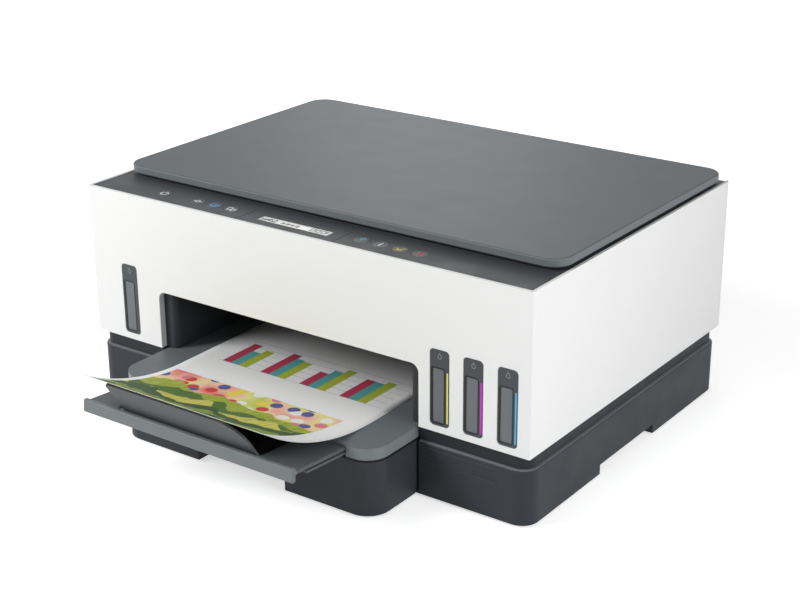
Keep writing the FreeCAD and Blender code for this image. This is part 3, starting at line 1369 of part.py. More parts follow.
def pickup_roller():
    half = PICKUP_SPAN / 2 + PICKUP_W + 2
    reach = half + FRAME_T + 1.5
    pieces = []
    for side in (-1, 1):
        x0 = TRAY_X + side * (PICKUP_SPAN + PICKUP_W) / 2 - PICKUP_W / 2
        pieces.append(rod("x", x0, x0 + PICKUP_W, PICKUP_Y, PICKUP_Z, PICKUP_R))
    return join(rod("x", TRAY_X - reach, TRAY_X + reach, PICKUP_Y, PICKUP_Z, PICKUP_SHAFT_R), *pieces)


def service_station():
    """Parking block with two caps for the printheads and a wiper between them."""
    side = [
        (STATION_X0, Z_FLOOR),
        (GRIP_IN - GAP, Z_FLOOR),
        (GRIP_IN - GAP, GRIP_TOP + GAP),
        (STATION_X1, GRIP_TOP + GAP),
        (STATION_X1, STATION_TOP, 3.0),
        (STATION_X0, STATION_TOP, 3.0),
    ]
    body = prism("xz", side, STATION_FRONT, STATION_BACK)
    mid = CARRIAGE_FRONT + 8 + HEAD_L / 2
    tops = []
    for x in head_places():
        cup = bevelled(x - 13, x + 13, mid - 18, mid + 18, 3.0)
        hollow = bevelled(x - 11, x + 11, mid - 16, mid + 16, 2.0)
        tall = prism("xy", cup, STATION_TOP - 1, STATION_TOP + STATION_CAP_H)
        tops.append(tall.cut(prism("xy", hollow, STATION_TOP + 2, STATION_TOP + STATION_CAP_H + 1)))
    cap_top = STATION_TOP + STATION_CAP_H
    wiper = box(CARRIAGE_X - 0.8, CARRIAGE_X + 0.8, mid - 16, mid + 16, STATION_TOP - 1, cap_top)
    return join(body, *tops, wiper)


def rear_door():
    low, high = DOOR_LOW + GAP, DOOR_HIGH - GAP
    plate = box(DOOR_X0 + GAP, DOOR_X1 - GAP, IN_BACK, Y_BACK, low, high)
    ribs = []
    pitch = (DOOR_X1 - DOOR_X0 - 40) / (DOOR_RIBS - 1)
    deep = IN_BACK - DOOR_RIB_DEEP
    rib_low, rib_high = DOOR_LOW + DOOR_RIB_UP, DOOR_HIGH - DOOR_RIB_DOWN
    ends = [Vector(0, IN_BACK + 1, rib_low), Vector(0, deep, rib_low)]
    ends += [Vector(0, deep, rib_high), Vector(0, IN_BACK + 1, rib_high)]
    mid = Vector(0, deep + DOOR_RIB_SAG, (rib_low + rib_high) / 2)
    sides = [Part.makeLine(ends[i], ends[(i + 1) % 4]) for i in (0, 2, 3)]
    wire = Part.Wire([sides[0], Part.Arc(ends[1], mid, ends[2]).toShape(), sides[1], sides[2]])
    for i in range(DOOR_RIBS):
        rib = Part.Face(wire).extrude(Vector(DOOR_RIB_T, 0, 0))
        rib.translate(Vector(DOOR_X0 + 20 + i * pitch - DOOR_RIB_T / 2, 0, 0))
        ribs.append(rib)
    pin_y = (IN_BACK + Y_BACK) / 2
    pin_z = DOOR_LOW + DOOR_PIN_UP
    left = rod("x", DOOR_X0 - 2.5, DOOR_X0 + 2, pin_y, pin_z, DOOR_PIN_R)
    right = rod("x", DOOR_X1 - 2, DOOR_X1 + 2.5, pin_y, pin_z, DOOR_PIN_R)
    door = join(plate, left, right, *ribs)
    mid_x = (DOOR_X0 + DOOR_X1) / 2
    pull = rect(mid_x - PULL_W / 2, mid_x + PULL_W / 2, high - PULL_H, high + 5, 4.0)
    return door.cut(prism("xz", pull, Y_BACK - PULL_DEEP, Y_BACK + 1))


def power_inlet():
    z = INLET_Z
    face = BASE_BACK
    side, tall = INLET_W / 2, INLET_H / 2
    body = box(INLET_X - side, INLET_X + side, face - INLET_LONG, face, z - tall, z + tall)
    r = INLET_HOLE_H / 2
    hole = rect(INLET_X - INLET_HOLE_W / 2, INLET_X + INLET_HOLE_W / 2, z - r, z + r, r - 0.01)
    body = body.cut(prism("xz", hole, face - INLET_HOLE_DEEP, face + 1))
    pins = []
    for side in (-1, 1):
        x = INLET_X + side * INLET_PIN_PITCH / 2
        pins.append(rod("y", face - INLET_HOLE_DEEP - 1, face - 3, x, z, INLET_PIN_R))
    return join(body, *pins)


def power_supply():
    front = SUPPLY_BACK - SUPPLY_DEEP
    case = bevelled(SUPPLY_X0, SUPPLY_X1, front, SUPPLY_BACK, 2.0)
    return prism("xy", case, Z_FLOOR, Z_SHOULDER - SUPPLY_HEAD)


def main_board():
    board = box(MAIN_X0, MAIN_X1, MAIN_FRONT, MAIN_BACK, MAIN_LOW, MAIN_LOW + BOARD_T)
    bosses = []
    for x in (MAIN_X0 + 5, MAIN_X1 - 5):
        for y in (MAIN_FRONT + 5, MAIN_BACK - 5):
            bosses.append(box(x - 3, x + 3, y - 3, y + 3, Z_FLOOR, MAIN_LOW + 0.5))
    top = MAIN_LOW + BOARD_T
    x, y = MAIN_X0 + 6, MAIN_FRONT + 12
    chips = [
        box(x, x + 18, y, y + 18, top - 0.5, top + 2.2),
        box(x + 24, x + 35, y + 6, y + 17, top - 0.5, top + 1.6),
        rod("z", top - 0.5, top + 12, x + 29, y + 29, 5.0),
    ]
    return join(board, *bosses, *chips)


def usb_port():
    low = MAIN_LOW + BOARD_T
    back = BASE_BACK
    x0, x1 = USB_X - USB_W / 2, USB_X + USB_W / 2
    shell = box(x0, x1, back - USB_LONG, back, low, low + USB_H)
    s = USB_SKIN
    shell = shell.cut(box(x0 + s, x1 - s, back - USB_LONG + s, back + 1, low + s, low + USB_H - s))
    z = low + USB_H / 2
    wide, tall = USB_TONGUE_W / 2, USB_TONGUE_H / 2
    tongue = box(USB_X - wide, USB_X + wide, back - USB_LONG + 0.5, back - 2, z - tall, z + tall)
    return join(shell, tongue)


def all_pieces():
    pieces = {
        "base_housing": base_housing(),
        "feet": feet(),
        "body_shell": body_shell(),
        "mouth_liner": mouth_liner(),
        "window_bezels": window_bezels(),
        "scanner_tub": scanner_tub(),
        "scan_rod": scan_rod(),
        "scan_bar": scan_bar(),
        "scanner_deck": scanner_deck(),
        "scanner_glass": scanner_glass(),
        "scanner_lid": scanner_lid(),
        "lid_pad": lid_pad(),
        "control_panel": control_panel(),
        "panel_board": panel_board(),
        "display_screen": display_screen(),
        "input_tray": input_tray(),
        "output_cover": output_cover(),
        "tray_extension": tray_extension(),
        "paper_catch": paper_catch(),
        "printed_sheet": printed_sheet(),
        "engine_frame": engine_frame(),
        "carriage_rail": carriage_rail(),
        "platen": platen(),
        "print_carriage": print_carriage(),
        "printheads": printheads(),
        "drive_belt": drive_belt(),
        "motor_pulley": motor_pulley(),
        "idler_pulley": idler_pulley(),
        "carriage_motor": carriage_motor(),
        "feed_roller": feed_roller(),
        "output_roller": output_roller(),
        "feed_belt": feed_belt(),
        "feed_motor": feed_motor(),
        "pickup_roller": pickup_roller(),
        "service_station": service_station(),
        "rear_door": rear_door(),
        "power_inlet": power_inlet(),
        "power_supply": power_supply(),
        "main_board": main_board(),
        "usb_port": usb_port(),
    }
    for colour in WINDOW_X:
        pieces["tank_" + colour] = ink_tank(colour)
        pieces["cap_" + colour] = tank_cap(colour)
        if colour != "black":
            pieces["strip_" + colour] = colour_strip(colour)
    for name in BUTTON_X:
        pieces["button_" + name] = button(name)
    return pieces


os.makedirs("parts", exist_ok=True)
for node, shape in all_pieces().items():
    shape.exportStep("parts/" + node + ".step")
    print(node, len(shape.Solids), shape.isValid(), round(shape.Volume))
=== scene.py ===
import json
import math

import bmesh
import bpy
from mathutils import Matrix, Vector


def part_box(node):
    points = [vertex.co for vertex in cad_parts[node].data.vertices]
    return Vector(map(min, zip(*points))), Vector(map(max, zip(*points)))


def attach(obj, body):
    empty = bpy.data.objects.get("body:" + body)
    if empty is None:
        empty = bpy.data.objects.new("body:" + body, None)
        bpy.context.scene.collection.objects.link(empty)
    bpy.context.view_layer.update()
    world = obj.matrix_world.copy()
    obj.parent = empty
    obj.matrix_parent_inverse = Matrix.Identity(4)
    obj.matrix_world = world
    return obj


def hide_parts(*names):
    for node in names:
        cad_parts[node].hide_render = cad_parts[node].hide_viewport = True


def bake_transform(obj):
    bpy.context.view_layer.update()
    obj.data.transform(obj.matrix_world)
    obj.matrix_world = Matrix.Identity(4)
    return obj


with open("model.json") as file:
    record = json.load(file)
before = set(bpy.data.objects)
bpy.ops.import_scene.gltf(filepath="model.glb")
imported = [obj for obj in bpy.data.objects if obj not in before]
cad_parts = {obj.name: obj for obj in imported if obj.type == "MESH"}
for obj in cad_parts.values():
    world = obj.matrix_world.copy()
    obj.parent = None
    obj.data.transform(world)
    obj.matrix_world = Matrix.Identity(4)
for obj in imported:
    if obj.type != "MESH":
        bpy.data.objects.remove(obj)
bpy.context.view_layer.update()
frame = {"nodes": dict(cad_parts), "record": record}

MM = 0.001
nodes = frame["nodes"]
scene = bpy.context.scene
scene.view_settings.view_transform = "Standard"


# Camera, at the photograph's angle

CAMERA_AZIMUTH = math.radians(35.805)
CAMERA_HEIGHT = math.radians(21.524)
CAMERA_ROLL = math.radians(-0.361)
CAMERA_TARGET = Vector((260.891, -374.817, 263.468)) * MM
CAMERA_DISTANCE = 913.76 * MM
CAMERA_LENS = 73.64
SENSOR_WIDTH = 36.0


def make_camera():
    back = Vector((
        math.sin(CAMERA_AZIMUTH) * math.cos(CAMERA_HEIGHT),
        -math.cos(CAMERA_AZIMUTH) * math.cos(CAMERA_HEIGHT),
        math.sin(CAMERA_HEIGHT),
    ))
    level = Vector((math.cos(CAMERA_AZIMUTH), math.sin(CAMERA_AZIMUTH), 0))
    upward = back.cross(level)
    c, s = math.cos(CAMERA_ROLL), math.sin(CAMERA_ROLL)
    side = c * level + s * upward
    up = -s * level + c * upward
    data = bpy.data.cameras.new("camera")
    data.lens = CAMERA_LENS
    data.sensor_width = SENSOR_WIDTH
    data.sensor_fit = "HORIZONTAL"
    data.clip_start = 0.05
    data.clip_end = 50
    camera = bpy.data.objects.new("camera", data)
    turn = Matrix((side, up, back)).transposed().to_4x4()
    camera.matrix_world = Matrix.Translation(CAMERA_TARGET + CAMERA_DISTANCE * back) @ turn
    scene.collection.objects.link(camera)
    scene.camera = camera


make_camera()


# Node helpers

def linear(red, green, blue):
    """Linear light of a display colour given from 0 to 255."""
    def one(value):
        value /= 255
        return value / 12.92 if value <= 0.04045 else ((value + 0.055) / 1.055) ** 2.4
    return one(red), one(green), one(blue), 1.0


def shade(colour, factor):
    return tuple(min(1.0, c * factor) for c in colour[:3]) + (1.0,)


class Tree:
    """A material's nodes, with short ways to add them."""

    def __init__(self, name):
        self.material = bpy.data.materials.new(name)
        self.material.use_nodes = True
        self.nodes = self.material.node_tree.nodes
        self.links = self.material.node_tree.links
        self.shader = self.nodes["Principled BSDF"]

    def add(self, kind, **settings):
        node = self.nodes.new("ShaderNode" + kind)
        for key, value in settings.items():
            setattr(node, key, value)
        return node

    def feed(self, socket, value):
        if isinstance(value, bpy.types.NodeSocket):
            self.links.new(value, socket)
        else:
            socket.default_value = value

    def set(self, **values):
        for key, value in values.items():
            self.feed(self.shader.inputs[key.replace("_", " ")], value)

    def place(self):
        return self.add("TexCoord").outputs["Object"]

    def noise(self, place, size_mm, detail=2.0, stretch=None):
        if stretch:
            scaled = self.add("Mapping")
            scaled.inputs["Scale"].default_value = stretch
            self.links.new(place, scaled.inputs["Vector"])
            place = scaled.outputs["Vector"]
        node = self.add("TexNoise")
        node.inputs["Scale"].default_value = 1 / (size_mm * MM)
        node.inputs["Detail"].default_value = detail
        self.links.new(place, node.inputs["Vector"])
        return node.outputs[0]

    def range(self, value, low, high, to_low, to_high):
        node = self.add("MapRange")
        for socket, number in zip(node.inputs[1:5], (low, high, to_low, to_high)):
            socket.default_value = number
        self.links.new(value, node.inputs[0])
        return node.outputs[0]

    def math(self, operation, a, b=0.0, c=0.0):
        node = self.add("Math", operation=operation)
        for socket, value in zip(node.inputs, (a, b, c)):
            self.feed(socket, value)
        return node.outputs[0]

    def mix(self, factor, a, b, blend="MIX"):
        node = self.add("Mix", data_type="RGBA", blend_type=blend)
        for index, value in ((0, factor), (6, a), (7, b)):
            self.feed(node.inputs[index], value)
        return node.outputs[2]

    def ramp(self, factor, stops, interpolation="CONSTANT"):
        node = self.add("ValToRGB")
        node.color_ramp.interpolation = interpolation
        elements = node.color_ramp.elements
        while len(elements) < len(stops):
            elements.new(1.0)
        for element, (position, colour) in zip(elements, stops):
            element.position = position
            element.color = colour
        self.links.new(factor, node.inputs[0])
        return node.outputs[0]

    def rounded(self, radius_mm):
        """Normal that rounds sharp edges, and a mask of those edges."""
        bevel = self.add("Bevel", samples=4)
        bevel.inputs["Radius"].default_value = radius_mm * MM
        true = self.add("NewGeometry")
        dot = self.add("VectorMath", operation="DOT_PRODUCT")
        self.links.new(bevel.outputs[0], dot.inputs[0])
        self.links.new(true.outputs["Normal"], dot.inputs[1])
        mask = self.range(dot.outputs["Value"], 1.0, 0.8, 0.0, 1.0)
        return bevel.outputs[0], mask

    def inside(self, place, low, high):
        """Mask of a box whose corners are given in millimetres."""
        parts = self.add("SeparateXYZ")
        self.links.new(place, parts.inputs[0])
        mask = None
        for axis in range(3):
            middle, half = (low[axis] + high[axis]) / 2, (high[axis] - low[axis]) / 2
            near = self.add("Math", operation="COMPARE")
            self.links.new(parts.outputs[axis], near.inputs[0])
            near.inputs[1].default_value = middle * MM
            near.inputs[2].default_value = half * MM
            mask = self.math("MULTIPLY", mask, near.outputs[0]) if mask else near.outputs[0]
        return mask

    def bump(self, height, depth_mm, strength=1.0, normal=None):
        node = self.add("Bump")
        node.inputs["Strength"].default_value = strength
        node.inputs["Distance"].default_value = depth_mm * MM
        self.links.new(height, node.inputs["Height"])
        if normal:
            self.links.new(normal, node.inputs["Normal"])
        return node.outputs[0]


# Materials

def plastic(name, colour, rough, grain_mm=0.6, grain=0.02, tone=0.03, edge=0.25, round_mm=0.4,
            gloss=0.25, edge_wear_and_highlight=1.9, smear=0.05, zones=(), back_face_shade=None):
    """Moulded plastic: a spark-eroded grain, slow changes of tone and paler edges, partly rubbed wear and
    partly painted highlight.
    Zones are boxes in millimetres with a colour of their own, here painted light and shade; back_face_shade
    is painted shade on faces that look backward."""
    t = Tree(name)
    place = t.place()
    slow = t.noise(place, 90, 3)
    tone_mix = t.mix(slow, shade(colour, 1 - tone), shade(colour, 1 + tone))
    fine = t.noise(place, grain_mm, 3)
    speckle = t.mix(t.range(fine, 0.35, 0.65, 0, 1), shade(colour, 1 - tone), shade(colour, 1 + tone))
    body = t.mix(0.35, tone_mix, speckle)
    normal, edges = t.rounded(round_mm)
    # Edges are lightened: partly rubbed wear, partly a painted highlight.
    wear_and_highlight = t.math("MULTIPLY", edges, t.range(t.noise(place, 12, 4), 0.35, 0.65, edge * 0.5, edge))
    painted = t.mix(wear_and_highlight, body, shade(colour, edge_wear_and_highlight))
    for low, high, ink in zones:
        painted = t.mix(t.inside(place, low, high), painted, ink)
    # Faces that look backward get painted shade.
    if back_face_shade:
        facing = t.add("SeparateXYZ")
        t.links.new(t.add("TexCoord").outputs["Normal"], facing.inputs[0])
        painted = t.mix(t.range(facing.outputs[1], 0.1, 0.4, 0, 1), painted, back_face_shade)
    t.set(Base_Color=painted)
    smears = t.noise(place, 25, 4)
    t.set(Roughness=t.range(smears, 0.3, 0.7, rough - smear, rough + smear))
    t.set(Normal=t.bump(fine, grain, normal=normal), Specular_IOR_Level=gloss)
    return t.material


def rubber(name, colour):
    t = Tree(name)
    place = t.place()
    fine = t.noise(place, 0.35, 4)
    dust = t.range(t.noise(place, 14, 4), 0.45, 0.75, 0, 0.35)
    t.set(Base_Color=t.mix(dust, colour, shade(colour, 2.4)))
    t.set(Roughness=t.range(fine, 0.3, 0.7, 0.72, 0.9), Normal=t.bump(fine, 0.05))
    return t.material


def metal(name, colour, rough, along):
    """Drawn or rolled metal, its fine lines running along one axis."""
    t = Tree(name)
    place = t.place()
    stretch = [0.02 if axis == along else 1.0 for axis in "xyz"]
    lines = t.noise(place, 0.25, 3, stretch)
    stain = t.noise(place, 30, 4)
    body = t.mix(stain, shade(colour, 0.88), shade(colour, 1.06))
    t.set(Base_Color=t.mix(t.range(lines, 0.3, 0.7, 0, 0.4), body, shade(colour, 0.75)))
    t.set(Metallic=1.0, Roughness=t.range(lines, 0.3, 0.7, rough - 0.08, rough + 0.1))
    normal, _ = t.rounded(0.2)
    t.set(Normal=t.bump(lines, 0.01, normal=normal))
    return t.material


def circuit_board(name, colour):
    """Solder mask over a lattice of traces with tinned pads."""
    t = Tree(name)
    place = t.place()
    cells = t.add("TexVoronoi", distance="MANHATTAN", feature="DISTANCE_TO_EDGE")
    cells.inputs["Scale"].default_value = 260
    t.links.new(place, cells.inputs["Vector"])
    trace = t.range(cells.outputs[0], 0.05, 0.09, 1, 0)
    dots = t.add("TexVoronoi")
    dots.inputs["Scale"].default_value = 190
    t.links.new(place, dots.inputs["Vector"])
    pad = t.range(dots.outputs[0], 0.13, 0.17, 1, 0)
    body = t.mix(trace, colour, shade(colour, 1.9))
    t.set(Base_Color=t.mix(pad, body, linear(190, 188, 180)))
    t.set(Roughness=t.range(pad, 0, 1, 0.45, 0.25), Metallic=t.math("MULTIPLY", pad, 0.9))
    t.set(Normal=t.bump(trace, 0.04))
    return t.material


def glass(name, colour):
    t = Tree(name)
    smear = t.noise(t.place(), 35, 4)
    t.set(Base_Color=colour, Transmission_Weight=1.0, IOR=1.5)
    t.set(Roughness=t.range(smear, 0.4, 0.75, 0.01, 0.08))
    return t.material


def smoked(name, colour):
    """Smoked clear plastic over still ink, with painted shade darkening its rounded edges."""
    t = Tree(name)
    place = t.place()
    haze = t.noise(place, 22, 3)
    body = t.mix(haze, shade(colour, 0.97), shade(colour, 1.03))
    normal, edges = t.rounded(0.5)
    # Painted shade darkens the rounded edges.
    t.set(Base_Color=t.mix(t.math("MULTIPLY", edges, 0.5), body, shade(colour, 0.35)))
    t.set(Roughness=t.range(haze, 0.3, 0.7, 0.34, 0.4), Specular_IOR_Level=0.3)
    t.set(Normal=t.bump(t.noise(place, 1.2, 2), 0.01, normal=normal))
    return t.material


def display(name, colour):
    """Reflective liquid-crystal glass with a faint dot raster."""
    t = Tree(name)
    place = t.place()
    cells = t.add("TexVoronoi", distance="CHEBYCHEV")
    cells.inputs["Scale"].default_value = 2400
    cells.inputs["Randomness"].default_value = 0.0
    t.links.new(place, cells.inputs["Vector"])
    raster = t.range(cells.outputs[0], 0.3, 0.5, 0, 0.12)
    glow = t.noise(place, 30, 2)
    body = t.mix(glow, shade(colour, 0.94), shade(colour, 1.06))
    t.set(Base_Color=t.mix(raster, body, shade(colour, 0.6)))
    t.set(Roughness=t.range(glow, 0.3, 0.7, 0.16, 0.24), Coat_Weight=0.4)
    return t.material


def printed(name, colour):
    """Screen-printed paint with a fine stipple."""
    t = Tree(name)
    fine = t.noise(t.place(), 0.12, 2)
    t.set(Base_Color=t.mix(fine, shade(colour, 0.88), shade(colour, 1.06)))
    t.set(Roughness=t.range(fine, 0.3, 0.7, 0.45, 0.6), Normal=t.bump(fine, 0.004))
    return t.material


def foam(name, colour):
    """White scanner backing: a felted face on foam."""
    t = Tree(name)
    place = t.place()
    felt = t.noise(place, 0.5, 5)
    slow = t.noise(place, 40, 3)
    body = t.mix(slow, shade(colour, 0.96), shade(colour, 1.02))
    t.set(Base_Color=t.mix(t.range(felt, 0.4, 0.6, 0, 0.12), body, shade(colour, 0.8)))
    t.set(Roughness=t.range(felt, 0.3, 0.7, 0.8, 0.95), Normal=t.bump(felt, 0.08))
    t.set(Sheen_Weight=0.15)
    return t.material


# Page, laid out in millimetres: across from its left edge, along from its back end

PAGE_W, PAGE_L = 195.0, 270.0
CHART_LEFT, CHART_RIGHT = 20.0, 186.0
CHART_BASE, CHART_TOP = 111.0, 60.0
GROUP_LEFT, GROUP_PITCH, BAR_W = 24.0, 40.4, 8.7
GRID_STEP, GRID_LINE = 9.4, 0.35
BAR_LEAST, BAR_MOST = 26, 44
PICTURE = (6.0, 176.0, 146.0, 266.0)
PRINT_CRIMSON = linear(186, 62, 92)
PRINT_TEAL = linear(88, 168, 168)
PRINT_OLIVE = linear(176, 188, 62)
PRINT_GREY = linear(150, 152, 152)


def page(name):
    t = Tree(name)
    split = t.add("SeparateXYZ")
    t.links.new(t.add("UVMap", uv_map="page").outputs[0], split.inputs[0])
    across = t.math("MULTIPLY", split.outputs[0], PAGE_W)
    along = t.math("MULTIPLY", split.outputs[1], PAGE_L)

    def above(value, limit):
        return t.math("GREATER_THAN", value, limit)

    def both(*masks):
        result = masks[0]
        for mask in masks[1:]:
            result = t.math("MULTIPLY", result, mask)
        return result

    def within(value, low, high):
        return both(above(value, low), t.math("LESS_THAN", value, high))

    paper = t.mix(t.noise(t.place(), 1.5, 4), linear(238, 239, 238), linear(247, 247, 246))

    above_base = t.math("SUBTRACT", CHART_BASE + GRID_LINE, along)
    grid = t.math("FRACT", t.math("DIVIDE", above_base, GRID_STEP))
    lines = both(
        t.math("LESS_THAN", grid, GRID_LINE / GRID_STEP),
        within(across, CHART_LEFT, CHART_RIGHT),
        within(along, CHART_TOP, CHART_BASE + 1),
    )
    colour = t.mix(lines, paper, PRINT_GREY)

    groups = t.math("DIVIDE", t.math("SUBTRACT", across, GROUP_LEFT), GROUP_PITCH)
    group = t.math("FLOOR", groups)
    bars = t.math("MULTIPLY", t.math("FRACT", groups), GROUP_PITCH / BAR_W)
    bar = t.math("FLOOR", bars)
    pair = t.add("CombineXYZ")
    t.links.new(group, pair.inputs[0])
    t.links.new(bar, pair.inputs[1])
    dice = t.add("TexWhiteNoise", noise_dimensions="2D")
    t.links.new(pair.outputs[0], dice.inputs["Vector"])
    tall = t.range(dice.outputs["Value"], 0, 1, BAR_LEAST, BAR_MOST)
    bar_mask = both(
        within(group, -0.5, 3.5),
        t.math("LESS_THAN", bar, 2.5),
        t.math("LESS_THAN", along, CHART_BASE),
        above(t.math("ADD", along, tall), CHART_BASE),
    )
    third = t.math("DIVIDE", t.math("ADD", bar, 0.5), 3)
    inks = t.ramp(third, ((0.0, PRINT_CRIMSON), (0.33, PRINT_TEAL), (0.66, PRINT_OLIVE)))
    colour = t.mix(bar_mask, colour, inks)

    left, right, top, bottom = PICTURE
    flat = t.add("CombineXYZ")
    t.links.new(across, flat.inputs[0])
    t.links.new(along, flat.inputs[1])
    flat = flat.outputs[0]

    def field(scale, detail=1.0, offset=0.0, squeeze=1.0):
        """Noise over the page; squeeze draws it out along the page's length."""
        node = t.add("TexNoise", noise_dimensions="2D")
        node.inputs["Scale"].default_value = scale
        node.inputs["Detail"].default_value = detail
        move = t.add("Mapping")
        move.inputs["Location"].default_value = (offset, offset, 0)
        move.inputs["Scale"].default_value = (1, squeeze, 1)
        t.links.new(flat, move.inputs["Vector"])
        t.links.new(move.outputs["Vector"], node.inputs["Vector"])
        return node.outputs[0]

    art = t.ramp(
        field(0.022, 2, 7),
        ((0.30, linear(232, 120, 104)), (0.45, linear(244, 196, 176)), (0.55, linear(236, 226, 150)),
         (0.70, linear(196, 210, 92))),
        "LINEAR",
    )
    pebbles = t.add("TexVoronoi", voronoi_dimensions="2D")
    pebbles.inputs["Scale"].default_value = 0.07
    t.links.new(flat, pebbles.inputs["Vector"])
    hue = t.add("SeparateColor")
    t.links.new(pebbles.outputs["Color"], hue.inputs[0])
    pebble_ink = t.ramp(
        hue.outputs[0],
        ((0.0, linear(206, 66, 70)), (0.22, linear(92, 92, 150)), (0.4, linear(236, 214, 84)),
         (0.6, linear(240, 240, 232)), (0.8, linear(222, 132, 140))),
    )
    art = t.mix(t.math("LESS_THAN", pebbles.outputs["Distance"], 0.36), art, pebble_ink)
    # Each hill's height along the page, the swing of its ridge, and its noise's scale, offset and ink
    hills = (
        (172.0, 26.0, 0.020, 30.0, linear(148, 160, 60)),
        (187.0, 30.0, 0.026, 110.0, linear(70, 100, 40)),
        (200.0, 26.0, 0.032, 190.0, linear(190, 186, 88)),
        (211.0, 30.0, 0.024, 270.0, linear(46, 72, 32)),
        (227.0, 28.0, 0.034, 350.0, linear(116, 136, 52)),
        (241.0, 26.0, 0.028, 430.0, linear(36, 58, 28)),
        (255.0, 20.0, 0.040, 510.0, linear(206, 200, 116)),
    )
    for level, swing, scale, offset, ink in hills:
        ridge = t.range(field(scale, 2, offset, 0.0), 0, 1, level + swing, level - swing)
        blades = t.range(field(0.45, 3, offset, 0.12), 0.35, 0.65, 0, 0.45)
        art = t.mix(above(along, ridge), art, t.mix(blades, ink, shade(ink, 1.9)))
    frame_mask = both(within(across, left, right), within(along, top, bottom))
    colour = t.mix(frame_mask, colour, art)

    fibre = t.noise(t.place(), 0.8, 5)
    t.set(Base_Color=colour)
    t.set(Roughness=t.range(fibre, 0.3, 0.7, 0.55, 0.7), Normal=t.bump(fibre, 0.02))
    return t.material


# Zones of a colour of their own, painted light and shade: low corner, high corner, colour

# The extension's lip keeps a lit colour, against the painted shade of the rest of the extension.
LIP = ((-120, -275, 40), (95, -266.5, 70), linear(120, 125, 128))
# Painted shade on the inner jamb of the white shell at the mouth.
JAMB_SHADE = ((-146, -155.9, 50), (122.5, -148, 112.2), linear(188, 193, 196))
# Painted shade on the output cover's top face, darker than its rim.
COVER_TOP_SHADE = ((-160, -215, 57.4), (140, 100, 58.6), linear(108, 113, 116))
# Painted highlight along the top edge of the base's shoulder.
SHOULDER_HIGHLIGHT = ((-220, -160, 46.4), (220, 160, 47.4), linear(108, 112, 116))
# Painted shade on the lid's top face, darker than its front and sides.
lid_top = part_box("scanner_lid")[1].z / MM
LID_TOP_SHADE = ((-220, -160, lid_top - 0.25), (220, 160, lid_top + 1), linear(86, 92, 96))
# Painted shade in the recessed neck between base and shell.
NECK_SHADE = ((-220, -160, 47.4), (220, 160, 58.8), linear(40, 43, 47))
RIM_SHADOW = ((-160, -215, 46.5), (140, -150, 48.2), linear(14, 15, 17))


# Finishes, by slot and for the nodes that have one of their own

finishes = {
    # The base's strong edge setting paints highlights on its edges; its zones paint a shoulder highlight and
    # shade in the neck.
    "base": plastic("base_plastic", linear(52, 56, 61), 0.5, 0.7, 0.03, edge=0.8, round_mm=0.9, gloss=0.18,
                    zones=[SHOULDER_HIGHLIGHT, NECK_SHADE]),
    "foot": rubber("foot_rubber", linear(40, 40, 41)),
    "shell": plastic("shell_plastic", linear(243, 244, 243), 0.48, 0.5, 0.012, 0.008, 0.05, zones=[JAMB_SHADE]),
    "liner": plastic("liner_plastic", linear(50, 53, 57), 0.55, 0.6, 0.02),
    "bezel": plastic("bezel_plastic", linear(75, 78, 82), 0.45, 0.4, 0.012),
    "strip_y": plastic("strip_yellow_ink", linear(248, 238, 110), 0.35, 0.4, 0.006),
    "strip_m": plastic("strip_magenta_ink", linear(236, 34, 226), 0.35, 0.4, 0.006),
    "strip_c": plastic("strip_cyan_ink", linear(84, 190, 242), 0.35, 0.4, 0.006),
    "tank": smoked("tank_smoked", linear(110, 115, 118)),
    "cap": plastic("cap_plastic", linear(96, 98, 100), 0.5),
    # The lid's strong edge setting paints a highlight along its edges.
    "lid": plastic("lid_plastic", linear(112, 117, 120), 0.42, 0.8, 0.03, edge=0.8, round_mm=0.8,
                   gloss=0.16, edge_wear_and_highlight=2.2, smear=0.012, zones=[LID_TOP_SHADE]),
    "deck": plastic("deck_plastic", linear(64, 67, 71), 0.5),
    "panel": plastic("panel_plastic", linear(62, 65, 69), 0.5, 0.5, 0.015),
    # The button's strong edge setting paints a highlight round each rim.
    "button": plastic("button_plastic", linear(72, 75, 79), 0.4, 0.3, 0.008, 0.02, 1.0, edge_wear_and_highlight=4.0),
    "lcd": display("display_glass", linear(184, 184, 179)),
    "pad": foam("pad_foam", linear(236, 236, 232)),
    "glass": glass("scan_glass", (0.86, 0.94, 0.92, 1.0)),
    "cover": plastic("cover_plastic", linear(126, 131, 134), 0.46, 0.6, 0.02, zones=[COVER_TOP_SHADE]),
    "paper": page("printed_page"),
    "steel": metal("zinc_steel", linear(196, 198, 200), 0.32, "x"),
    "black": plastic("black_plastic", linear(38, 39, 42), 0.5, 0.5, 0.015),
    "rubber": rubber("roller_rubber", linear(48, 48, 50)),
    "board": circuit_board("board_laminate", linear(28, 92, 56)),
    "supply": plastic("supply_plastic", linear(50, 52, 55), 0.55),
    "port": metal("plated_port", linear(188, 190, 192), 0.28, "y"),
}
own_finishes = {
    # The tray's strong edge setting paints a highlight on its edges; RIM_SHADOW paints the shadow under the
    # cover's rim.
    "input_tray": plastic("tray_plastic", linear(55, 58, 63), 0.5, 0.7, 0.03, edge=0.8, round_mm=0.9,
                          gloss=0.18, zones=[RIM_SHADOW]),
    # The extension and the catch are darker copies of the cover plastic, painted shade beneath the sheet; the
    # catch's backward faces are painted near-black shade.
    "tray_extension": plastic("extension_plastic", linear(92, 96, 99), 0.5, 0.6, 0.02, zones=[LIP]),
    "paper_catch": plastic("catch_plastic", linear(97, 101, 104), 0.5, 0.6, 0.02, back_face_shade=linear(24, 25, 28)),
}
for part in frame["record"]["subparts"]:
    slots = nodes[part["node"]].data.materials
    slots.clear()
    slots.append(own_finishes.get(part["node"]) or finishes[part["material_slot"]])


# New pieces

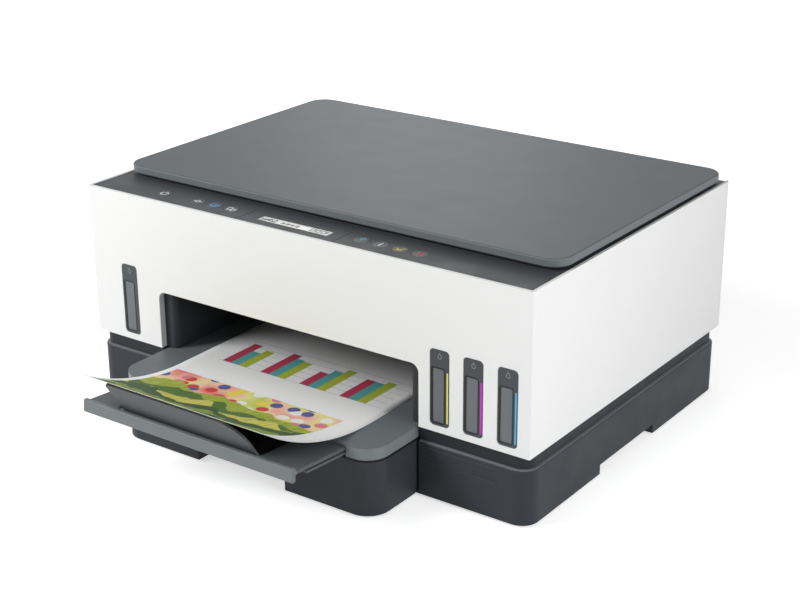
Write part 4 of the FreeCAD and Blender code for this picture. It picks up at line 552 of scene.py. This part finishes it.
def add_piece(name, mesh_maker, body, material, smooth=False):
    mesh = bpy.data.meshes.new(name)
    shape = bmesh.new()
    mesh_maker(shape)
    bmesh.ops.recalc_face_normals(shape, faces=shape.faces)
    for face in shape.faces:
        face.smooth = smooth
    shape.to_mesh(mesh)
    shape.free()
    mesh.materials.append(material)
    piece = bpy.data.objects.new(name, mesh)
    scene.collection.objects.link(piece)
    if body:
        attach(piece, body)
    return piece


# Printed sheet: flat in the mouth, its front end curling up

SHEET_LEFT, SHEET_BACK = -109.0, -35.0
SHEET_LOW, SHEET_T = 58.1, 0.12
FLAT_L = 135.0
ACROSS_STEPS, ALONG_STEPS = 26, 90


def curl_radius():
    """Radius at which the curl ends where the sheet's solid does."""
    tip = -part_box("printed_sheet")[0].y / MM + SHEET_BACK - FLAT_L
    low, high = 80.0, 600.0
    for _ in range(60):
        middle = (low + high) / 2
        if middle * math.sin((PAGE_L - FLAT_L) / middle) < tip:
            low = middle
        else:
            high = middle
    return low


CURL_R = curl_radius()


def sheet_point(across, along, lift):
    past = max(0.0, along - FLAT_L)
    angle = past / CURL_R
    radius = CURL_R - lift
    y = SHEET_BACK - min(along, FLAT_L) - radius * math.sin(angle)
    z = SHEET_LOW + CURL_R - radius * math.cos(angle)
    return Vector((SHEET_LEFT + across, y, z)) * MM


def make_sheet(shape):
    layer = shape.loops.layers.uv.new("page")
    rows = []
    for lift in (0.0, SHEET_T):
        for j in range(ALONG_STEPS + 1):
            along = PAGE_L * j / ALONG_STEPS
            rows.append([
                (shape.verts.new(sheet_point(PAGE_W * i / ACROSS_STEPS, along, lift)),
                 (i / ACROSS_STEPS, j / ALONG_STEPS))
                for i in range(ACROSS_STEPS + 1)
            ])

    def face(corners):
        made = shape.faces.new([vert for vert, _ in corners])
        for loop, (_, uv) in zip(made.loops, corners):
            loop[layer].uv = uv

    under, over = rows[:ALONG_STEPS + 1], rows[ALONG_STEPS + 1:]
    for j in range(ALONG_STEPS):
        for i in range(ACROSS_STEPS):
            face((under[j][i], under[j][i + 1], under[j + 1][i + 1], under[j + 1][i]))
            face((over[j][i], over[j + 1][i], over[j + 1][i + 1], over[j][i + 1]))
    for j in range(ALONG_STEPS):
        for i in (0, ACROSS_STEPS):
            face((under[j][i], over[j][i], over[j + 1][i], under[j + 1][i]))
    for i in range(ACROSS_STEPS):
        for j in (0, ALONG_STEPS):
            face((under[j][i], under[j][i + 1], over[j][i + 1], over[j][i]))


sheet = add_piece("paper_sheet", make_sheet, None, finishes["paper"], smooth=True)
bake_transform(sheet)
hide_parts("printed_sheet")


# Floor of the bay that the catch folds into, under the sloping extension

BAY_LOW, BAY_HIGH = (-91.0, -268.0, 51.9), (58.0, -221.0, 52.8)
SLOPE, SLOPE_Y, SLOPE_Z = math.radians(-4.46), -211.1, 55.6


def make_bay_floor(shape):
    corners = {}
    for x in (0, 1):
        for y in (0, 1):
            for z in (0, 1):
                across, along, up = ((BAY_LOW, BAY_HIGH)[k][axis] for axis, k in enumerate((x, y, z)))
                along, up = along - SLOPE_Y, up - SLOPE_Z
                corners[x, y, z] = shape.verts.new(Vector((
                    across,
                    SLOPE_Y + along * math.cos(SLOPE) - up * math.sin(SLOPE),
                    SLOPE_Z + along * math.sin(SLOPE) + up * math.cos(SLOPE),
                )) * MM)
    for axis in range(3):
        for k in (0, 1):
            ring = []
            for a, b in ((0, 0), (1, 0), (1, 1), (0, 1)):
                key = [a, b]
                key.insert(axis, k)
                ring.append(corners[tuple(key)])
            shape.faces.new(ring)


add_piece("catch_bay_floor", make_bay_floor, "tray_extension", finishes["black"])


# Scanner backing pad under the lid

PAD_STEPS = 40
PAD_RIM_DROP, PAD_RIM_POWER = 0.35, 24


def make_pad(shape):
    low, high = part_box("lid_pad")
    centre = (low + high) / 2
    half = (high - low) / 2

    def edge_drop(a, b):
        """Share of the thickness at a place of the pad: full inside, falling off at the rim."""
        rim = max(abs(a) ** PAD_RIM_POWER, abs(b) ** PAD_RIM_POWER)
        return 1.0 - PAD_RIM_DROP * rim

    grids = []
    for side in (-1, 1):
        grid = []
        for j in range(PAD_STEPS + 1):
            row = []
            for i in range(PAD_STEPS + 1):
                a, b = (math.sin(math.pi / 2 * (2 * k / PAD_STEPS - 1)) for k in (i, j))
                z = centre.z + half.z * (1 if side > 0 else -edge_drop(a, b))
                row.append(shape.verts.new((centre.x + half.x * a, centre.y + half.y * b, z)))
            grid.append(row)
        grids.append(grid)
    for grid in grids:
        for j in range(PAD_STEPS):
            for i in range(PAD_STEPS):
                shape.faces.new((grid[j][i], grid[j][i + 1], grid[j + 1][i + 1], grid[j + 1][i]))
    under, over = grids
    last = PAD_STEPS
    for k in range(PAD_STEPS):
        sides = (
            ((0, k), (0, k + 1)),
            ((last, k), (last, k + 1)),
            ((k, 0), (k + 1, 0)),
            ((k, last), (k + 1, last)),
        )
        for (j, i), (m, n) in sides:
            shape.faces.new((under[j][i], under[m][n], over[m][n], over[j][i]))


pad = add_piece("backing_pad", make_pad, "scanner_lid", finishes["pad"], smooth=True)
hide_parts("lid_pad")


# Marks, as thin raised prints: button symbols, display segments, ink drops, rings of painted shade round the
# sights and an outline

PRINT_T = 0.05


def ribbon(shape, points, width, put):
    """A flat stroke along points; put(u, v, w) gives the place of a point and a height."""
    count = len(points)
    closed = points[0] == points[-1]
    sides = []
    for k in range(count - 1 if closed else count):
        before = points[k - 1] if k else (points[-2] if closed else points[0])
        after = points[k + 1] if k + 1 < count else points[k]
        here = points[k]
        a = Vector((here[0] - before[0], here[1] - before[1]))
        b = Vector((after[0] - here[0], after[1] - here[1]))
        a, b = a.normalized(), b.normalized()
        along = (a + b).normalized()
        reach = width / 2 / max(0.5, along.dot(b if b.length else a))
        off = Vector((-along.y, along.x)) * reach
        row = []
        for side in (-1, 1):
            for w in (0.0, PRINT_T):
                row.append(shape.verts.new(put(here[0] + side * off.x, here[1] + side * off.y, w) * MM))
        sides.append(row)
    pairs = list(zip(sides, sides[1:])) + ([(sides[-1], sides[0])] if closed else [])
    for one, two in pairs:
        for i, j in ((0, 2), (2, 3), (3, 1), (1, 0)):
            shape.faces.new((one[i], one[j], two[j], two[i]))
    if not closed:
        for row in (sides[0], sides[-1]):
            shape.faces.new((row[0], row[2], row[3], row[1]))


def arc(radius, start, end, steps=20, centre=(0.0, 0.0)):
    turns = [math.radians(start + (end - start) * k / steps) for k in range(steps + 1)]
    points = [(centre[0] + radius * math.cos(t), centre[1] + radius * math.sin(t)) for t in turns]
    if abs(end - start) == 360:
        points[-1] = points[0]
    return points


def loop(x0, y0, x1, y1):
    return [(x0, y0), (x1, y0), (x1, y1), (x0, y1), (x0, y0)]


def rounded_loop(x0, y0, x1, y1, radius):
    points = []
    for x, y, start in ((x1, y1, 0), (x0, y1, 90), (x0, y0, 180), (x1, y0, 270)):
        centre = (x - math.copysign(radius, x - (x0 + x1) / 2), y - math.copysign(radius, y - (y0 + y1) / 2))
        points += arc(radius, start, start + 90, 5, centre)
    return points + points[:1]


def bar(x0, y0, x1, y1):
    """Centreline and width of a filled upright bar."""
    return [((x0 + x1) / 2, y0), ((x0 + x1) / 2, y1)], x1 - x0


def add_marks(name, strokes, put, body, material):
    def make(shape):
        for points, width in strokes:
            ribbon(shape, points, width, put)
    return add_piece(name, make, body, material)


# Each symbol's strokes, as points and a width, and its paint

SYMBOL_SIZE = 1.25
SHEETS = [
    (loop(-3.2, -0.9, -0.1, 2.5), 0.55),
    (loop(0.6, -2.5, 3.4, 0.9), 0.55),
    ([(-2.4, -2.4), (-0.4, -1.6)], 0.6),
]
symbols = {
    "power": ([(arc(2.6, 125, 415), 0.75), ([(0, 0.9), (0, 3.2)], 0.75)], "white"),
    "light": ([(arc(1.5, 0, 360), 0.7), ([(-3.6, 0), (-2.2, 0)], 0.7), ([(2.2, 0), (3.6, 0)], 0.7)], "white"),
    "copy": (SHEETS, "blue"),
    "copy_colour": (SHEETS, "white"),
    "wireless": ([(arc(3.2, 45, 135), 0.6), (arc(2.0, 45, 135), 0.6), (arc(0.6, 0, 360), 0.6)], "cyan"),
    "info": ([([(0, -2.4), (0, 0.9)], 0.9), ([(0, 1.9), (0, 2.9)], 0.9)], "white"),
    "resume": (
        [([(-2.4, 0.6), (-0.8, -1.4), (2.6, 2.2)], 0.8), ([(-2.6, -2.2), (2.6, -2.2)], 0.5)],
        "yellow",
    ),
    "cancel": ([([(-2, -2), (2, 2)], 0.8), ([(-2, 2), (2, -2)], 0.8)], "red"),
}
paints = {
    "white": printed("print_white", linear(244, 245, 245)),
    "blue": printed("print_blue", linear(66, 156, 222)),
    "cyan": printed("print_cyan", linear(70, 186, 206)),
    "yellow": printed("print_yellow", linear(226, 214, 70)),
    "red": printed("print_red", linear(224, 56, 46)),
    "grey": printed("print_grey", linear(132, 136, 139)),
    # Near-black paint for the painted shade in the gaps round the sights.
    "gap_shade": printed("print_gap_shade", linear(14, 15, 17)),
    "segment": printed("print_segment", linear(52, 53, 52)),
    "half_tone": printed("print_half_tone", linear(150, 151, 146)),
}


def flat_on(node, size=1.0):
    """Places marks on the top of a node, from its middle."""
    low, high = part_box(node)
    middle = (low + high) / 2 / MM
    top = high.z / MM
    return lambda u, v, w: Vector((middle.x + u * size, middle.y + v * size, top + w))


for key, (strokes, paint) in symbols.items():
    node = "button_" + key
    add_marks("symbol_" + key, strokes, flat_on(node, SYMBOL_SIZE), node, paints[paint])

# Display: rising bars, a dial on its foot, a number, and four gauges

segments = [bar(-32 + 2.2 * k, -2.4, -30.4 + 2.2 * k, -0.6 + 1.1 * k) for k in range(4)]
segments += [(arc(2.2, 0, 360, centre=(-20.4, 0.3)), 0.9), ([(-23.4, -2.6), (-17.4, -2.6)], 0.8)]
segments += [(loop(16.4 + 5.2 * k, -2.4, 19.6 + 5.2 * k, 2.6), 0.8) for k in range(3)]
segments += [([(31.6, -2.4), (31.6, 2.6)], 1.0)]
add_marks("display_segments", segments, flat_on("display_screen"), "scanner_unit", paints["segment"])
gauges = [bar(-12.5 + 4.6 * k, -2.6, -9.4 + 4.6 * k, 1.0 + 0.5 * (k % 2)) for k in range(4)]
add_marks("display_gauges", gauges, flat_on("display_screen"), "scanner_unit", paints["half_tone"])


# Front marks: places across and up in millimetres

# A near-black ring of painted shade in the gap between each sight and its bezel.
SIGHT_GAP_SHADE = rounded_loop(-7.1, 66.3, 4.5, 111.1, 1.9)
PLATE = rounded_loop(125.2, 32.0, 191.5, 43.0, 1.0)
base_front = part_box("base_housing")[0].y / MM
add_marks(
    "plate_outline", [(PLATE, 0.5)], lambda u, v, w: Vector((u, base_front - w, v)), "case",
    paints["segment"],
)
DROP_UP = 7.4
DROP = [(0.0, 2.4)] + arc(1.5, 30, -210, 16, (0.0, -0.6)) + [(0.0, 2.4)]
bezel_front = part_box("window_bezels")[0].y / MM
bezel_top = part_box("window_bezels")[1].z / MM
WINDOW_X = {"black": -175.8, "yellow": 138.6, "magenta": 168.2, "cyan": 197.8}
for ink, middle in WINDOW_X.items():
    add_marks(
        "ink_drop_" + ink, [(DROP, 0.6)],
        lambda u, v, w, x=middle: Vector((x + u, bezel_front - w, bezel_top - DROP_UP + v)),
        "case", paints["grey"],
    )
    add_marks(
        "sight_gap_shade_" + ink, [(SIGHT_GAP_SHADE, 1.3)],
        lambda u, v, w, x=middle: Vector((x + u, bezel_front - w, v)), "case", paints["gap_shade"],
    )


# Stage and light

FLOOR_HALF = 12.0
GLOW_NEAR, GLOW_FAR = 0.6, 0.9
GLOW_START, GLOW_END = 0.35, 1.2
AMBIENT = 0.24


def make_stage():
    t = Tree("floor_white")
    fine = t.noise(t.place(), 40, 3)
    t.set(Base_Color=t.mix(fine, linear(232, 232, 232), linear(238, 238, 238)), Roughness=0.9)
    away = t.add("VectorMath", operation="LENGTH")
    t.links.new(t.place(), away.inputs[0])
    glow = t.range(away.outputs["Value"], GLOW_START, GLOW_END, GLOW_NEAR, GLOW_FAR)
    path = t.add("LightPath")
    seen = t.math("MAXIMUM", path.outputs["Is Camera Ray"], path.outputs["Is Glossy Ray"])
    seen = t.math("MAXIMUM", seen, path.outputs["Is Transmission Ray"])
    t.set(Emission_Color=(1, 1, 1, 1), Emission_Strength=t.math("MULTIPLY", seen, glow))
    mesh = bpy.data.meshes.new("floor")
    corners = [(x * FLOOR_HALF, y * FLOOR_HALF, 0) for x, y in ((-1, -1), (1, -1), (1, 1), (-1, 1))]
    mesh.from_pydata(corners, [], [(0, 1, 2, 3)])
    mesh.materials.append(t.material)
    floor = bpy.data.objects.new("floor", mesh)
    scene.collection.objects.link(floor)


def make_world():
    world = bpy.data.worlds.new("studio")
    world.use_nodes = True
    tree = world.node_tree
    tree.nodes.clear()
    out = tree.nodes.new("ShaderNodeOutputWorld")
    mix = tree.nodes.new("ShaderNodeMixShader")
    path = tree.nodes.new("ShaderNodeLightPath")
    seen = path.outputs["Is Camera Ray"]
    for name in ("Is Glossy Ray", "Is Transmission Ray"):
        most = tree.nodes.new("ShaderNodeMath")
        most.operation = "MAXIMUM"
        tree.links.new(seen, most.inputs[0])
        tree.links.new(path.outputs[name], most.inputs[1])
        seen = most.outputs[0]
    tree.links.new(seen, mix.inputs[0])
    for index, strength in ((1, AMBIENT), (2, 1.0)):
        back = tree.nodes.new("ShaderNodeBackground")
        back.inputs["Color"].default_value = (1, 1, 1, 1)
        back.inputs["Strength"].default_value = strength
        tree.links.new(back.outputs[0], mix.inputs[index])
    tree.links.new(mix.outputs[0], out.inputs[0])
    scene.world = world


def make_lamp(name, place, aim, size, energy):
    data = bpy.data.lights.new(name, "AREA")
    data.shape = "DISK"
    data.size = size
    data.energy = energy
    lamp = bpy.data.objects.new(name, data)
    lamp.location = place
    lamp.rotation_euler = (Vector(aim) - Vector(place)).to_track_quat("-Z", "Y").to_euler()
    scene.collection.objects.link(lamp)


make_stage()
make_world()
make_lamp("key", (-1.15, -1.35, 1.1), (0, -0.1, 0.1), 0.9, 28.5)
make_lamp("fill", (1.0, -0.25, 0.4), (0.2, 0, 0.1), 0.5, 4.2)
make_lamp("rim", (-1.15, 1.66, 1.0), (0, 0, 0.2), 0.7, 2.6)
